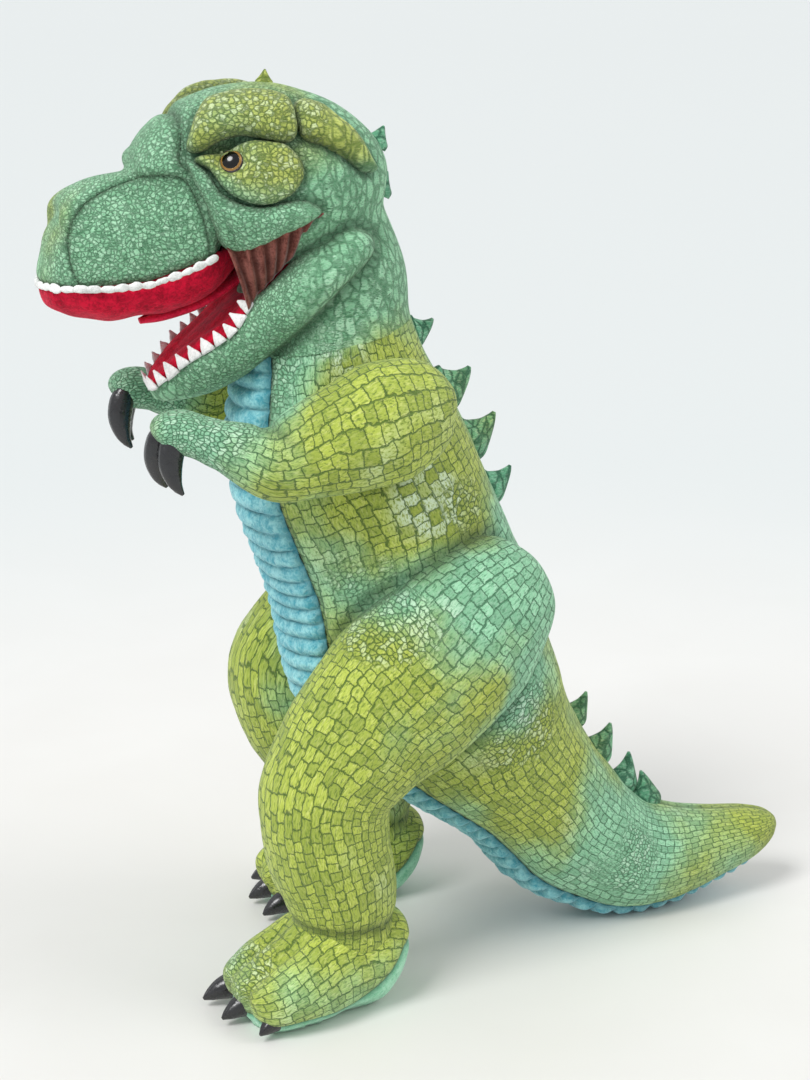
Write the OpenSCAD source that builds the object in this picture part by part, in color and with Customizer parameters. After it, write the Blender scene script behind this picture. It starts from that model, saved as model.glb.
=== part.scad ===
// Stuffed dinosaur: sewn plush skins over stuffing, with a jaw, a neck, two arms and a tail that move.
// X is across the toy (+X is its left side), it faces -Y, and it stands on z = 0.

/* [Whole toy] */
// Length from the snout to the tip of the tail
toy_l = 546; // [440:1:660]
// Height of the crown above the floor
toy_h = 624; // [520:1:750]
// Width of the trunk at the hips
hip_w = 176; // [145:1:212]

/* [Cloth and stuffing] */
// Thickness of the plush with its backing
skin_t = 2; // [1.5:0.1:2.5]
// Room between two sewn pieces or between cloth and stuffing
seam_gap = 0.3; // [0.2:0.05:0.4]
// Room between pieces that move on each other
move_gap = 0.8; // [0.6:0.1:1]
// Width of the ribbed belly panel at the waist
belly_w = 104; // [86:1:125]

/* [Head] */
// Width of the skull
head_w = 124; // [103:1:149]
// Length of the snout and skull in front of the jaw hinge
head_l = 176; // [146:1:212]
// Diameter of the glass-look eye
eye_d = 17; // [14:0.5:21]
// Diameter of the shank behind the eye
shank_d = 4.5; // [3.6:0.1:5.4]
// Diameter of the washer that locks the shank
washer_d = 20; // [16:1:24]
// Thickness of the padded face panels
pad_t = 4; // [3:0.5:5]

/* [Jaw] */
// Length of the jaw from its hinge to its tip
jaw_l = 139; // [116:1:167]
// Width of the jaw at its hinge
jaw_w = 96; // [80:1:115]
// Height of a tooth
tooth_h = 9; // [7:0.5:11]
// Thickness of the fleece that the upper teeth are cut from
tooth_t = 3; // [2.4:0.1:3.6]
// Number of lower teeth on each side
tooth_n = 8; // [6:1:10]
// Thickness of the pleated cheek gusset
gusset_t = 1.6; // [1.3:0.1:1.9]
// Length of the tongue
tongue_l = 72; // [58:1:86]

/* [Arms] */
// Reach of an arm from the shoulder to the fingers
arm_l = 160; // [132:1:192]
// Diameter of the round root that the arm turns on
arm_root_d = 62; // [52:1:75]
// Length of a finger claw
finger_claw_l = 44; // [36:1:53]

/* [Legs] */
// Length of a foot without its claws
foot_l = 122; // [100:1:147]
// Width of a foot across the toes
foot_w = 92; // [76:1:110]
// Height of a foot at the ankle seam
foot_h = 64; // [54:1:77]
// Width of a leg at the ankle seam
ankle_w = 74; // [62:1:88]
// Length of a toe claw
toe_claw_l = 26; // [22:1:31]

/* [Tail] */
// Length of the tail behind its bend
tail_l = 176; // [146:1:211]

/* [Spikes] */
// Height of the largest back spike
spike_h = 24; // [20:1:29]
// Length of the base of the largest back spike
spike_base = 33; // [27:1:40]

/* [Hidden] */

left = 1;
right = -1;
big = 1600;
back_angle = -90;

// The pattern was drawn for these sizes, and every piece follows its own ratio to them.
kx = hip_w / 176;
ky = toy_l / 546;
kz = toy_h / 624;
kr = sqrt(ky * kz);
khx = head_w / 124;
khl = head_l / 176;
kjl = jaw_l / 139;
kjx = jaw_w / 96;
ka = arm_l / 160;
kt = tail_l / 176;

// A station is [x, y, z, half width, half depth] on the middle line of a stuffed form.
function on_trunk(s) = [for (p = s) [p[0] * kx, p[1] * ky, p[2] * kz, p[3] * kx, p[4] * kr]];

trunk_top = [
    [0, -92, 548, 44, 42], [0, -86, 500, 55, 56], [0, -83, 452, 60, 60], [0, -71, 382, 80, 80],
    [0, -41, 301, 86, 86], [0, -14, 221, 88, 93], [0, 21, 168, 82, 76], [0, 60, 119, 66, 58],
    [0, 95, 76, 54, 54]
];
// The tail is set out from its bend at the floor.
tail_bend = [0, 95, 76];
tail_run = [
    [0, 41, -28, 47, 46], [0, 82, -36, 40, 38], [0, 120, -33, 31, 29], [0, 153, -28, 23, 21],
    [0, 170, -25, 14, 13], [0, 177, -24, 2, 2]
];
function on_tail(s) = [
    for (p = s) [
        p[0], tail_bend[1] * ky + p[1] * kt, tail_bend[2] * kz + p[2] * kz, p[3] * kx, p[4] * kz
    ]
];
trunk_line = concat(on_trunk(trunk_top), on_tail(tail_run));

neck_at = [0, -80 * ky, 455 * kz];
neck_tilt = 10;
tail_axis_y = 134 * ky;
tail_joint_r = 51 * kx;

// Head, set out from the jaw hinge.
hinge = [0, -97 * ky, 514 * kz];
hinge_r = 27 * kr;
function on_head(s) = [
    for (p = s) [p[0], hinge[1] + p[1] * (p[1] < 0 ? khl : ky), hinge[2] + p[2] * kz, p[3] * khx,
        p[4] * kz]
];
skull_line = on_head([
    [0, 46, 20, 5, 5], [0, 42, 22, 28, 30], [0, 22, 32, 48, 50], [0, -4, 40, 60, 60], [0, -34, 45,
        62, 63],
    [0, -56, 43, 57, 61], [0, -70, 38, 52, 56], [0, -82, 23, 48, 46], [0, -92, 9, 46, 46],
    [0, -118, 6, 45, 47], [0, -142, 2, 42, 46], [0, -162, -2, 34, 37], [0, -172, -1, 22, 24],
    [0, -176, 0, 4, 5]
]);

// Jaw, set out from its hinge as it hangs open.
function on_jaw(s) = [
    for (p = s) [p[0], hinge[1] + p[1] * kjl, hinge[2] + p[2] * kjl, p[3] * kjx, p[4] * kr]
];
jaw_line = on_jaw([
    [0, 26, 22, 34, 10], [0, 15, 12, 46, 22], [0, -6, -9, 48, 25], [0, -28, -36, 44, 24], [0, -52,
        -60, 38, 23],
    [0, -78, -78, 30, 19], [0, -98, -88, 19, 13], [0, -107, -92, 4, 4]
]);

// Arms, set out from the shoulder.
shoulder = [58 * kx, -56 * ky, 414 * kz];
arm_swing_down = 20;
arm_swing_up = 15;
function on_arm(s) = [
    for (p = s) [shoulder[0] + p[0], shoulder[1] + p[1] * ka, shoulder[2] + p[2] * ka, p[3], p[4]]
];
arm_line = on_arm([
    [26, 34, 4, 6, 6], [29, 28, 4, 22, 28], [34, -6, -2, 34, 42], [37, -38, -10, 31, 37],
    [37, -68, -19, 27, 31], [34, -90, -24, 23, 25], [27, -112, -16, 17, 18], [19, -130, -9, 15, 15],
    [13, -144, -5, 15, 15], [10, -156, -6, 12, 12], [9, -160, -8, 4, 4]
]);

// Legs, from inside the hip down into the foot.
left_leg = on_trunk([
    [56, 42, 298, 8, 10], [61, 32, 290, 30, 42], [70, -2, 264, 41, 62], [78, -42, 230, 43, 64],
    [84, -84, 195, 41, 53], [86, -109, 160, 40, 46], [86, -110, 122, 40, 43], [84, -102, 92, 38, 40]
]);
right_leg = on_trunk([
    [-56, 42, 296, 8, 10], [-61, 32, 286, 30, 42], [-70, 0, 258, 41, 62], [-78, -40, 222, 43, 63],
    [-84, -80, 194, 41, 53], [-87, -82, 160, 40, 46], [-88, -66, 124, 40, 42], [-89, -46, 92, 38, 40]
]);
left_foot_at = [80 * kx, -98 * ky];
right_foot_at = [-89 * kx, -31 * ky];
left_toe_out = 10;
right_toe_out = -4;
function foot_at(side) = side == left ? left_foot_at : right_foot_at;
function leg_line(side) = let (a = foot_at(side), w = ankle_w / 2) concat(
    side == left ? left_leg : right_leg,
    [[a[0], a[1], foot_h + 2, w, w], [a[0], a[1], foot_h - 18, w, w]]
);
kfl = foot_l / 122;
kfw = foot_w / 92;
kfh = foot_h / 64;
foot_line = [
    for (p = [
        [0, 42, 28, 4, 4], [0, 38, 30, 24, 24], [0, 22, 34, 36, 34], [0, -8, 34, 41, 36],
        [0, -38, 26, 46, 29], [0, -60, 20, 44, 23], [0, -74, 17, 36, 17], [0, -80, 15, 12, 6]
    ]) [p[0], p[1] * kfl, p[2] * kfh, p[3] * kfw, p[4] * kfh]
];

function unit(v) = v / norm(v);
function place(s) = [s[0], s[1], s[2]];
function spline(a, b, c, d, t) =
    0.5 * (2 * b + (c - a) * t + (2 * a - 5 * b + 4 * c - d) * t * t + (3 * b - a - 3 * c + d) * t * t * t);
function between(s, i, t) =
    spline(s[max(i - 1, 0)], s[i], s[min(i + 1, len(s) - 1)], s[min(i + 2, len(s) - 1)], t);
function smooth(s, n) = [for (i = [0:len(s) - 2], k = [0:n - 1]) between(s, i, k / n), s[len(s) - 1]];
function heading(s, i) = unit(place(s[min(i + 1, len(s) - 1)]) - place(s[max(i - 1, 0)]));
function bulge(c, e) = sign(c) * pow(abs(c), 2 / e);
function on_ring(p, t, a, e, across) =
    let (u = unit(across - t * (t * across)), v = cross(t, u))
    place(p) + u * bulge(cos(a), e) * max(p[3], 0.5) + v * bulge(sin(a), e) * max(p[4], 0.5);
function rings(s, sides, e, across) = [
    for (i = [0:len(s) - 1]) [for (j = [0:sides - 1]) on_ring(s[i], heading(s, i), j * 360 / sides,
        e, across)]
];
function outward(g, i, j) =
    let (m = len(g[0]), a = g[i][(j + 1) % m] - g[i][(j + m - 1) % m],
         b = g[min(i + 1, len(g) - 1)][j] - g[max(i - 1, 0)][j])
    unit(cross(a, b));
function swell(g, by) = [for (i = [0:len(g) - 1]) [for (j = [0:len(g[0]) - 1]) g[i][j] + outward(g,
    i, j) * by]];

// Point on the skin of a form: k counts stations, a is the angle round it, out is how far it stands off.
function skin_point(s, k, a, out = 0, e = 2, across = [1, 0, 0]) =
    let (i = min(floor(k), len(s) - 2), p = between(s, i, k - i),
         t = unit(place(between(s, i, k - i + 0.01)) - place(between(s, i, k - i - 0.01))),
         q = on_ring(p, t, a, e, across))
    q + unit(q - place(p)) * out;

// Closed stuffed form through its stations.
module form(s, grow = 0, sides = 20, e = 2, n = 1, across = [1, 0, 0]) {
    drawn = rings(smooth(s, n), sides, e, across);
    g = grow == 0 ? drawn : swell(drawn, grow);
    m = len(g);
    polyhedron(
        points = [for (r = g) each r],
        faces = concat(
            [[for (j = [0:sides - 1]) j]],
            [[for (j = [0:sides - 1]) m * sides - 1 - j]],
            [for (i = [0:m - 2], j = [0:sides - 1], h = [0, 1])
                let (a = i * sides + j, b = i * sides + (j + 1) % sides)
                h == 0 ? [a, a + sides, b + sides] : [a, b + sides, b]]
        )
    );
}

// One side of the toy, a seam's half width away from its middle.
module half_of(side) {
    intersection() {
        children();
        translate([side > 0 ? seam_gap / 2 : -big - seam_gap / 2, -big / 2, -big / 2]) cube(big);
    }
}

module mirror_to(side) {
    if (side > 0) children();
    else mirror([1, 0, 0]) children();
}

// Side outline [y, z] drawn through the whole width.
module side_zone(outline) {
    rotate([90, 0, 90]) translate([0, 0, -big / 2]) linear_extrude(big) polygon(outline);
}

// Everything above the neck seam.
module above_neck(off = 0) {
    translate(neck_at) rotate([neck_tilt, 0, 0]) translate([-big / 2, -big / 2, off]) cube(big);
}

// Room in front of the neck for the chin as the head turns.
module chin_room() {
    intersection() {
        translate(neck_at) rotate([neck_tilt, 0, 0]) rotate_extrude($fn = 40)
            polygon([for (p = [[46, 8], [47, 0], [58, -13], [73, -28], [96, -42], [150, -42], [150,
                8]]) p * kr]);
        translate([-big / 2, neck_at[1] - 12 - big, 0]) cube(big);
    }
}

// Everything behind the tail joint, which is an upright cylinder about the tail's axis.
module behind_tail_joint(off = 0) {
    difference() {
        translate([-big / 2, tail_axis_y, -big / 2]) cube(big);
        translate([0, tail_axis_y, -big / 2]) cylinder(h = 2 * big, r = tail_joint_r + off, $fn = 64);
    }
}

module trunk(grow = 0) { form(trunk_line, grow, sides = 20); }

// The round pocket in the trunk that an arm's root turns in.
arm_root_in = 52 * kx;
module arm_pocket(side, room = 0) {
    mirror_to(side) translate([arm_root_in - room, shoulder[1], shoulder[2]]) rotate([0, 90, 0])
        cylinder(h = big / 2, d = arm_root_d + 2 * room, $fn = 32);
}

belly_line = [
    for (p = [
        [0, -140, 470, 30, 24], [0, -158, 405, 42, 34], [0, -143, 341, 51, 42], [0, -127, 280, 52, 46],
        [0, -106, 222, 50, 44], [0, -72, 172, 46, 40], [0, -30, 136, 42, 36], [0, 10, 92, 38, 30],
        [0, 52, 44, 33, 26], [0, 96, 12, 26, 16], [0, 128, 1, 20, 10], [0, 150, 1, 10, 6]
    ]) [p[0], p[1] * ky, p[2] * kz, p[3] * belly_w / 104, p[4] * kr]
];
module belly_zone(grow = 0) { form(belly_line, grow, sides = 16); }

module trunk_shell() {
    difference() {
        trunk();
        trunk(-skin_t);
    }
}

module torso_cut() {
    difference() {
        children();
        above_neck();
        chin_room();
        behind_tail_joint();
        arm_pocket(left, move_gap);
        arm_pocket(right, move_gap);
    }
}

module torso_skin(side) {
    color("yellowgreen") resize([0, 0, 0]) torso_cut() half_of(side) difference() {
        trunk_shell();
        belly_zone(seam_gap);
    }
}

module belly_panel() {
    color("cadetblue") resize([0, 0, 0]) torso_cut() intersection() {
        trunk_shell();
        belly_zone();
    }
}

module torso_stuffing() {
    color("white") resize([0, 0, 0]) torso_cut() trunk(-skin_t - seam_gap);
}

module tail_cut() {
    intersection() {
        children();
        behind_tail_joint(move_gap);
    }
}

module tail_skin(side) {
    color("yellowgreen") resize([0, 0, 0]) tail_cut() half_of(side) trunk_shell();
}

module tail_stuffing() { color("white") resize([0, 0, 0]) tail_cut() trunk(-skin_t - seam_gap); }

// A stuffed spike on the middle seam: base length b, height h, its tip swept towards the tail.
module spike(s, k, h, b) {
    foot = skin_point(s, k, back_angle, seam_gap);
    tip = skin_point(s, k, back_angle, h);
    along = unit(skin_point(s, k + 0.1, back_angle) - skin_point(s, k - 0.1, back_angle));
    out = unit(tip - foot);
    wide = b * 0.28;
    form([
        concat(foot - out * h * 0.2, [wide, b / 2]),
        concat(foot + out * h * 0.3 - along * h * 0.05, [wide * 0.75, b * 0.34]),
        concat(foot + out * h * 0.6 - along * h * 0.16, [wide * 0.5, b * 0.18]),
        concat(foot + out * h * 0.85 - along * h * 0.3, [wide * 0.3, b * 0.09]),
        concat(foot + out * h - along * h * 0.42, [1, 1])
    ], sides = 8);
}

// Row of spikes: each entry is [station, share of the largest spike].
module spike_row(s, row) {
    for (r = row) spike(s, r[0], spike_h * r[1], spike_base * r[1]);
}

module back_spikes() {
    color("seagreen") resize([0, 0, 0]) difference() {
        spike_row(trunk_line, [[2.15, 0.7], [2.88, 1], [3.5, 1], [3.92, 0.8]]);
        trunk(seam_gap);
        above_neck();
    }
}

module rump_spikes() {
    color("seagreen") resize([0, 0, 0]) difference() {
        spike_row(trunk_line, [[6.95, 0.7], [7.55, 0.85], [8.5, 0.8], [9.45, 0.8]]);
        trunk(seam_gap);
        behind_tail_joint();
    }
}

module leg(side, grow = 0) { form(leg_line(side), grow, sides = 14); }

// A leg reaches from the trunk's side down to its ankle seam.
module leg_cut(side) {
    difference() {
        children();
        trunk(seam_gap);
        translate([-big / 2, -big / 2, foot_h - big]) cube(big);
    }
}

module leg_skin(side) {
    color("olivedrab") resize([0, 0, 0]) leg_cut(side) difference() {
        leg(side);
        leg(side, -skin_t);
    }
}

module leg_stuffing(side) {
    color("white") resize([0, 0, 0]) leg_cut(side) intersection() {
        leg(side, -skin_t - seam_gap);
        leg(side, -skin_t);
    }
}

module at_foot(side) {
    translate(foot_at(side)) rotate(side == left ? left_toe_out : -right_toe_out) children();
}

module foot(grow = 0) { form(foot_line, grow, sides = 14, e = 2.3); }

// Toe claws sit on three places across the front of the foot, inner toe first: [across, along, turn].
toe_places = [[-27, -66, -8], [1, -66, 2], [28, -54, 16]];
module toe_claw(grow = 0) {
    l = toe_claw_l;
    form([
        [0, 8, 15, 8, 9], [0, 0, 14.5, 9.5, 10], [0, -l * 0.45, 12.5, 7.5, 8], [0, -l * 0.8, 9, 4, 4.5],
        [0, -l, 6.5, 1, 1]
    ], grow, sides = 8);
}
module toe_claw_set(side, grow = 0) {
    mirror_to(side) for (p = toe_places)
        translate([p[0] * kfw, p[1] * kfl, 0]) rotate(p[2]) toe_claw(grow);
}

// A foot's cloth is open at the ankle and closed underneath by its sole.
module foot_cut(bottom) {
    difference() {
        children();
        translate([-big / 2, -big / 2, bottom - big]) cube(big);
        translate([-big / 2, -big / 2, foot_h - seam_gap]) cube(big);
    }
}

module foot_upper(side) {
    color("olivedrab") resize([0, 0, 0]) at_foot(side) foot_cut(skin_t + seam_gap) difference() {
        foot();
        foot(-skin_t);
        toe_claw_set(side, seam_gap);
    }
}

module foot_sole(side) {
    color("mediumaquamarine") at_foot(side) linear_extrude(skin_t) polygon([
        for (p = [[-26, 32], [-12, 39], [12, 39], [26, 32], [34, 14], [37, -10], [41, -40], [39, -58],
                  [28, -70], [0, -75], [-28, -70], [-39, -58], [-41, -40], [-37, -10], [-34, 14]])
            [p[0] * kfw, p[1] * kfl]
    ]);
}

module foot_stuffing(side) {
    color("white") resize([0, 0, 0]) at_foot(side) foot_cut(skin_t + seam_gap) difference() {
        foot(-skin_t - seam_gap);
        toe_claw_set(side, seam_gap);
    }
}

module toe_claws(side) {
    color("black") resize([0, 0, 0]) at_foot(side) intersection() {
        toe_claw_set(side);
        translate([-big / 2, -big / 2, skin_t + seam_gap]) cube(big);
    }
}

module skull(grow = 0) { form(skull_line, grow, sides = 16, e = 2.2); }

module head(grow = 0) {
    skull(grow);
    trunk(grow);
}

// The throat and the swing of the jaw, kept free in front of the neck.
module jaw_swing() {
    translate([-big / 2, hinge[1], hinge[2]]) rotate([0, 90, 0]) cylinder(h = big,
        r = hinge_r + move_gap, $fn = 36);
    side_zone([
        for (p = [[0, 28], [-36, 10], [-44, -8], [-58, -30], [-80, -50], [-300, -56], [-300, -140],
            [-56, -122],
                  [-38, -86], [-18, -49], [0, -28]])
            [hinge[1] + p[0] * ky, hinge[2] + p[1] * kz]
    ]);
}

// Below the lip line of the upper mouth.
module mouth_zone(off = 0) {
    side_zone([
        for (p = [[-20, -200], [-20, 22], [-42, 15], [-62, 6], [-88, -5], [-113, -13], [-137, -15],
            [-300, -17],
                  [-300, -200]])
            [hinge[1] + p[0] * khl, hinge[2] + p[1] * kz + off]
    ]);
}

module head_cut() {
    difference() {
        intersection() {
            children();
            above_neck(move_gap);
        }
        jaw_swing();
    }
}

module head_shell() {
    difference() {
        head();
        head(-skin_t);
    }
}

// The snout starts at the crease under the brows.
snout_start = hinge[1] - 84 * khl;
module snout_zone() { translate([-big / 2, snout_start - big, 0]) cube(big); }
snout_side_outline = [
    for (p = [[-88, -3], [-88, 34], [-100, 44], [-124, 40], [-146, 28], [-156, 8], [-158, -10],
        [-120, -10]])
        [hinge[1] + p[0] * khl, hinge[2] + p[1] * kz]
];
module snout_side_zone(side, grow = 0) {
    half_of(side) translate([side * 20 * khx, 0, 0]) half_of(side)
        rotate([90, 0, 90]) translate([0, 0,
            -big / 2]) linear_extrude(big) offset(grow) polygon(snout_side_outline);
}

eye_at = [45 * khx, hinge[1] - 61 * khl, hinge[2] + 63 * kz];
eye_turn = [0, 62, -30];
module at_eye(side) { mirror_to(side) translate(eye_at) rotate([eye_turn[0], eye_turn[1],
    eye_turn[2]]) children(); }
module eye_hole(side) {
    at_eye(side) translate([0, 0, -30]) cylinder(h = 60, d = shank_d + 2 * seam_gap, $fn = 24);
    at_eye(side) translate([0, 0, -1.5 - seam_gap]) cylinder(h = 30, d = eye_d + 2 * seam_gap,
        $fn = 32);
    at_eye(side) translate([0, 0, -15]) cylinder(h = 8, d = washer_d + 2 * seam_gap, $fn = 32);
}

module head_skin(side) {
    color("mediumseagreen") resize([0, 0, 0]) head_cut() half_of(side) difference() {
        head_shell();
        mouth_zone(seam_gap);
        snout_zone();
        eye_hole(side);
    }
}

module snout_skin() {
    color("mediumseagreen") resize([0, 0, 0]) head_cut() difference() {
        intersection() {
            head_shell();
            translate([0, -seam_gap, 0]) snout_zone();
        }
        mouth_zone(seam_gap);
        snout_side_zone(left, seam_gap);
        snout_side_zone(right, seam_gap);
    }
}

module snout_side(side) {
    color("seagreen") resize([0, 0, 0]) head_cut() difference() {
        intersection() {
            head_shell();
            snout_side_zone(side);
            translate([0, -seam_gap, 0]) snout_zone();
        }
        mouth_zone(seam_gap);
    }
}

module palate() {
    color("crimson") resize([0, 0, 0]) head_cut() intersection() {
        head_shell();
        mouth_zone();
        translate([-big / 2, hinge[1] - hinge_r - big, hinge[2] - 62 * kz]) cube(big);
    }
}

module head_stuffing() {
    color("white") resize([0, 0, 0]) head_cut() difference() {
        intersection() {
            head(-skin_t - seam_gap);
            head(-skin_t);
        }
        eye_hole(left);
        eye_hole(right);
    }
}

// Padded face panels lie on the skull: each is a layer over it, cut to its own outline.
module face_layer(side, outline, t, from) {
    half_of(side) difference() {
        intersection() {
            skull(t);
            translate([side * from, 0,
                0]) half_of(side) side_zone([for (p = outline) [hinge[1] + p[0] * khl,
                hinge[2] + p[1] * kz]]);
        }
        head(seam_gap);
        eye_hole(side);
    }
}

brow_outline = [[-84, 62], [-80, 84], [-64, 98], [-44, 100], [-26, 90], [-22, 72], [-40, 74], [-62,
    76], [-74, 66]];
patch_outline = [[-71, 64], [-61.8, 75.5], [-40, 73.4], [-22, 71.4], [-24, 52], [-46, 38], [-66, 46]];
cheek_outline = [[-80, 56], [-67, 45], [-46, 37], [-24, 46], [-8, 36], [-22, 24], [-60, 12], [-72, 10]];
temple_outline = [[-21, 73], [-25, 91], [-10, 98], [16, 88], [34, 62], [20, 50], [4, 58]];

module brow(side) { color("yellowgreen") resize([0, 0, 0]) face_layer(side, brow_outline,
    pad_t * 1.5, 22 * khx); }
module eye_patch(side) { color("yellowgreen") resize([0, 0, 0]) face_layer(side, patch_outline,
    pad_t * 0.6, 22 * khx); }
module cheek_panel(side) {
    color("mediumseagreen") resize([0, 0, 0]) difference() {
        face_layer(side, cheek_outline, pad_t, 22 * khx);
        jaw_swing();
    }
}
module temple_roll(side) { color("mediumseagreen") resize([0, 0, 0]) face_layer(side,
    temple_outline, pad_t, 22 * khx); }

module eye(side) {
    color("goldenrod") at_eye(side) {
        difference() {
            translate([0, 0, -1]) scale([1, 1, 0.62]) sphere(d = eye_d, $fn = 48);
            translate([-big / 2, -big / 2, -1 - big]) cube(big);
        }
        translate([0, 0, -14]) cylinder(h = 14, d = shank_d, $fn = 32);
    }
}

module eye_washer(side) {
    color("dimgray") at_eye(side) translate([0, 0, -12.5]) difference() {
        cylinder(h = 1.6, d = washer_d, $fn = 48);
        translate([0, 0, -1]) cylinder(h = 4, d = shank_d + 0.2, $fn = 32);
    }
}

// Teeth of white fleece along a mouth seam.
module tooth(at, h, r, turn) {
    translate(at) rotate(turn) translate([0, 0, seam_gap]) cylinder(h = h, r1 = r, r2 = r * 0.25,
        $fn = 6);
}

module upper_teeth() { color("white") resize([0, 0, 0]) upper_teeth_form(); }
module upper_teeth_form() {
    difference() {
        intersection() {
            skull(tooth_t);
            mouth_zone(2);
            translate([-big / 2, hinge[1] - 50 * khl - big, 0]) cube(big);
        }
        mouth_zone(2 - tooth_h);
        skull(seam_gap);
    }
}

module head_spikes() {
    color("seagreen") resize([0, 0, 0]) difference() {
        for (r = [[0.5, 0.55], [1.6, 0.5], [3.9, 0.35]]) crest_spike(r[0], spike_h * r[1],
            spike_base * r[1]);
        head(seam_gap);
    }
}
module crest_spike(k, h, b) {
    foot = skin_point(skull_line, k, -back_angle, seam_gap, 2.2);
    out = unit(skin_point(skull_line, k, -back_angle, h, 2.2) - foot);
    form([
        concat(foot - out * 2, [b * 0.3, b / 2]), concat(foot + out * h * 0.5, [b * 0.2, b * 0.3]),
        concat(foot + out * h, [0.8, 0.8])
    ], sides = 8);
}

module gusset(side) {
    color("brown") resize([0, 0, 0]) difference() {
        mirror_to(side) translate([47 * khx, 0, 0]) rotate([90, 0, 90]) linear_extrude(gusset_t)
            polygon([
                for (p = [[-62, 4], [-28, 14], [-29, 6], [-50, -12]]) [hinge[1] + p[0] * khl,
                    hinge[2] + p[1] * kz]
            ]);
        head(seam_gap);
        jaw(seam_gap);
        upper_teeth_form();
    }
}

module jaw(grow = 0) { form(jaw_line, grow, sides = 14, e = 2.2); }

// Above the lower lip, along the jaw's middle line.
module lip_zone(off = 0) {
    side_zone(concat(
        [for (s = smooth(jaw_line, 2)) [s[1] - 0.2 * s[4], s[2] + 0.25 * s[4] + off]],
        [[hinge[1] - 200, hinge[2] - 92 * kjl], [hinge[1] - 200, hinge[2] + 100], [hinge[1] + 40,
            hinge[2] + 100]]
    ));
}

module jaw_shell() {
    difference() {
        jaw();
        jaw(-skin_t);
    }
}

// The rear of the jaw is round about its hinge, and its lining clears the palate and tongue as it closes.
jaw_close = 6;
module jaw_cut() {
    difference() {
        jaw_outline() children();
        for (a = [0, jaw_close]) about_hinge(a) skull(move_gap);
        hull() for (a = [0, jaw_close]) about_hinge(a) tongue_form(move_gap + 0.3);
    }
}
module about_hinge(a) { translate(hinge) rotate([a, 0, 0]) translate(-hinge) children(); }

module jaw_outline() {
    intersection() {
        children();
        union() {
            translate([-big / 2, hinge[1], hinge[2]]) rotate([0, 90, 0]) cylinder(h = big,
                r = hinge_r, $fn = 36);
            side_zone([for (p = [[-8, 25.5], [-20, 18], [-300, 60], [-300, -300], [-64, -116],
                [-46, -84], [-24, -46], [-3, -26.5]])
                [hinge[1] + p[0] * kr, hinge[2] + p[1] * kr]]);
        }
    }
}

module jaw_skin() {
    color("mediumseagreen") resize([0, 0, 0]) jaw_cut() difference() {
        jaw_shell();
        lip_zone(-seam_gap);
    }
}

module jaw_lining() {
    color("crimson") resize([0, 0, 0]) jaw_cut() intersection() {
        jaw_shell();
        lip_zone();
    }
}

module jaw_stuffing() { color("white") resize([0, 0, 0]) jaw_cut() jaw(-skin_t - seam_gap); }

module lower_teeth() {
    color("white") resize([0, 0, 0]) difference() {
        for (side = [left, right], i = [0:tooth_n - 1])
            let (at = skin_point(jaw_line, 2.1 + 3.6 * i / (tooth_n - 1), side > 0 ? 25 : 155, -3, 2.2))
                tooth(at, tooth_h, 4.2, [38, side * 14, 0]);
        jaw(seam_gap);
    }
}

module tongue_form(grow = 0) {
    l = tongue_l;
    at = [hinge[1] - 40 * khl, hinge[2] - 14 * kz];
    form([
        [0, at[0], at[1], 10, 2], [0, at[0] - l * 0.2, at[1] - l * 0.18, 14, 3.2],
        [0, at[0] - l * 0.5, at[1] - l * 0.36, 14, 3.2], [0, at[0] - l * 0.8, at[1] - l * 0.45, 9, 3],
        [0, at[0] - l, at[1] - l * 0.48, 2, 1.5]
    ], grow, sides = 10);
}
module tongue() {
    color("deeppink") resize([0, 0, 0]) difference() {
        tongue_form();
        head(seam_gap);
    }
}

module arm(grow = 0) { form(arm_line, grow, sides = 12); }

// An arm keeps clear of the trunk through its whole swing, and turns on a round root in its pocket.
module arm_cut(grow = 0, deeper = 0) {
    difference() {
        union() {
            difference() {
                arm(grow);
                for (a = [arm_swing_down, arm_swing_down / 2, 0, -arm_swing_up / 2, -arm_swing_up])
                    translate([0, shoulder[1], shoulder[2]]) rotate([-a, 0, 0])
                        translate([0, -shoulder[1], -shoulder[2]]) trunk(move_gap - deeper);
            }
            intersection() {
                arm(grow);
                translate([arm_root_in, shoulder[1], shoulder[2]]) rotate([0, 90, 0])
                    cylinder(h = big / 2, r = arm_root_d / 2 + grow, $fn = 32);
            }
        }
        translate([arm_root_in - deeper - big, -big / 2, 0]) cube(big);
    }
}

// Two claws hang from each hand.
module finger_claw_pair(grow = 0) {
    l = finger_claw_l;
    for (dx = [-7, 7])
        let (at = [shoulder[0] + 10 + dx, shoulder[1] - (150 - dx * 0.4) * ka, shoulder[2] - 8 * ka])
            form([
                concat(at + [0, 0, 4], [5, 6]), concat(at + [0, -3, -4], [6.5, 8]),
                concat(at + [0, -5, -l * 0.45], [6, 7.5]), concat(at + [0, -2, -l * 0.8], [4, 4.5]),
                concat(at + [0, 4, -l], [0.8, 0.8])
            ], grow, sides = 8);
}

module arm_skin(side) {
    color("yellowgreen") resize([0, 0, 0]) mirror_to(side) difference() {
        arm_cut();
        arm_cut(-skin_t, 0.5 * move_gap);
        finger_claw_pair(seam_gap);
    }
}

module arm_stuffing(side) {
    color("white") resize([0, 0, 0]) mirror_to(side) difference() {
        intersection() {
            arm_cut(-skin_t - seam_gap);
            arm(-skin_t);
        }
        finger_claw_pair(seam_gap);
    }
}

module finger_claws(side) { color("black") resize([0, 0, 0]) mirror_to(side) finger_claw_pair(); }

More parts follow.
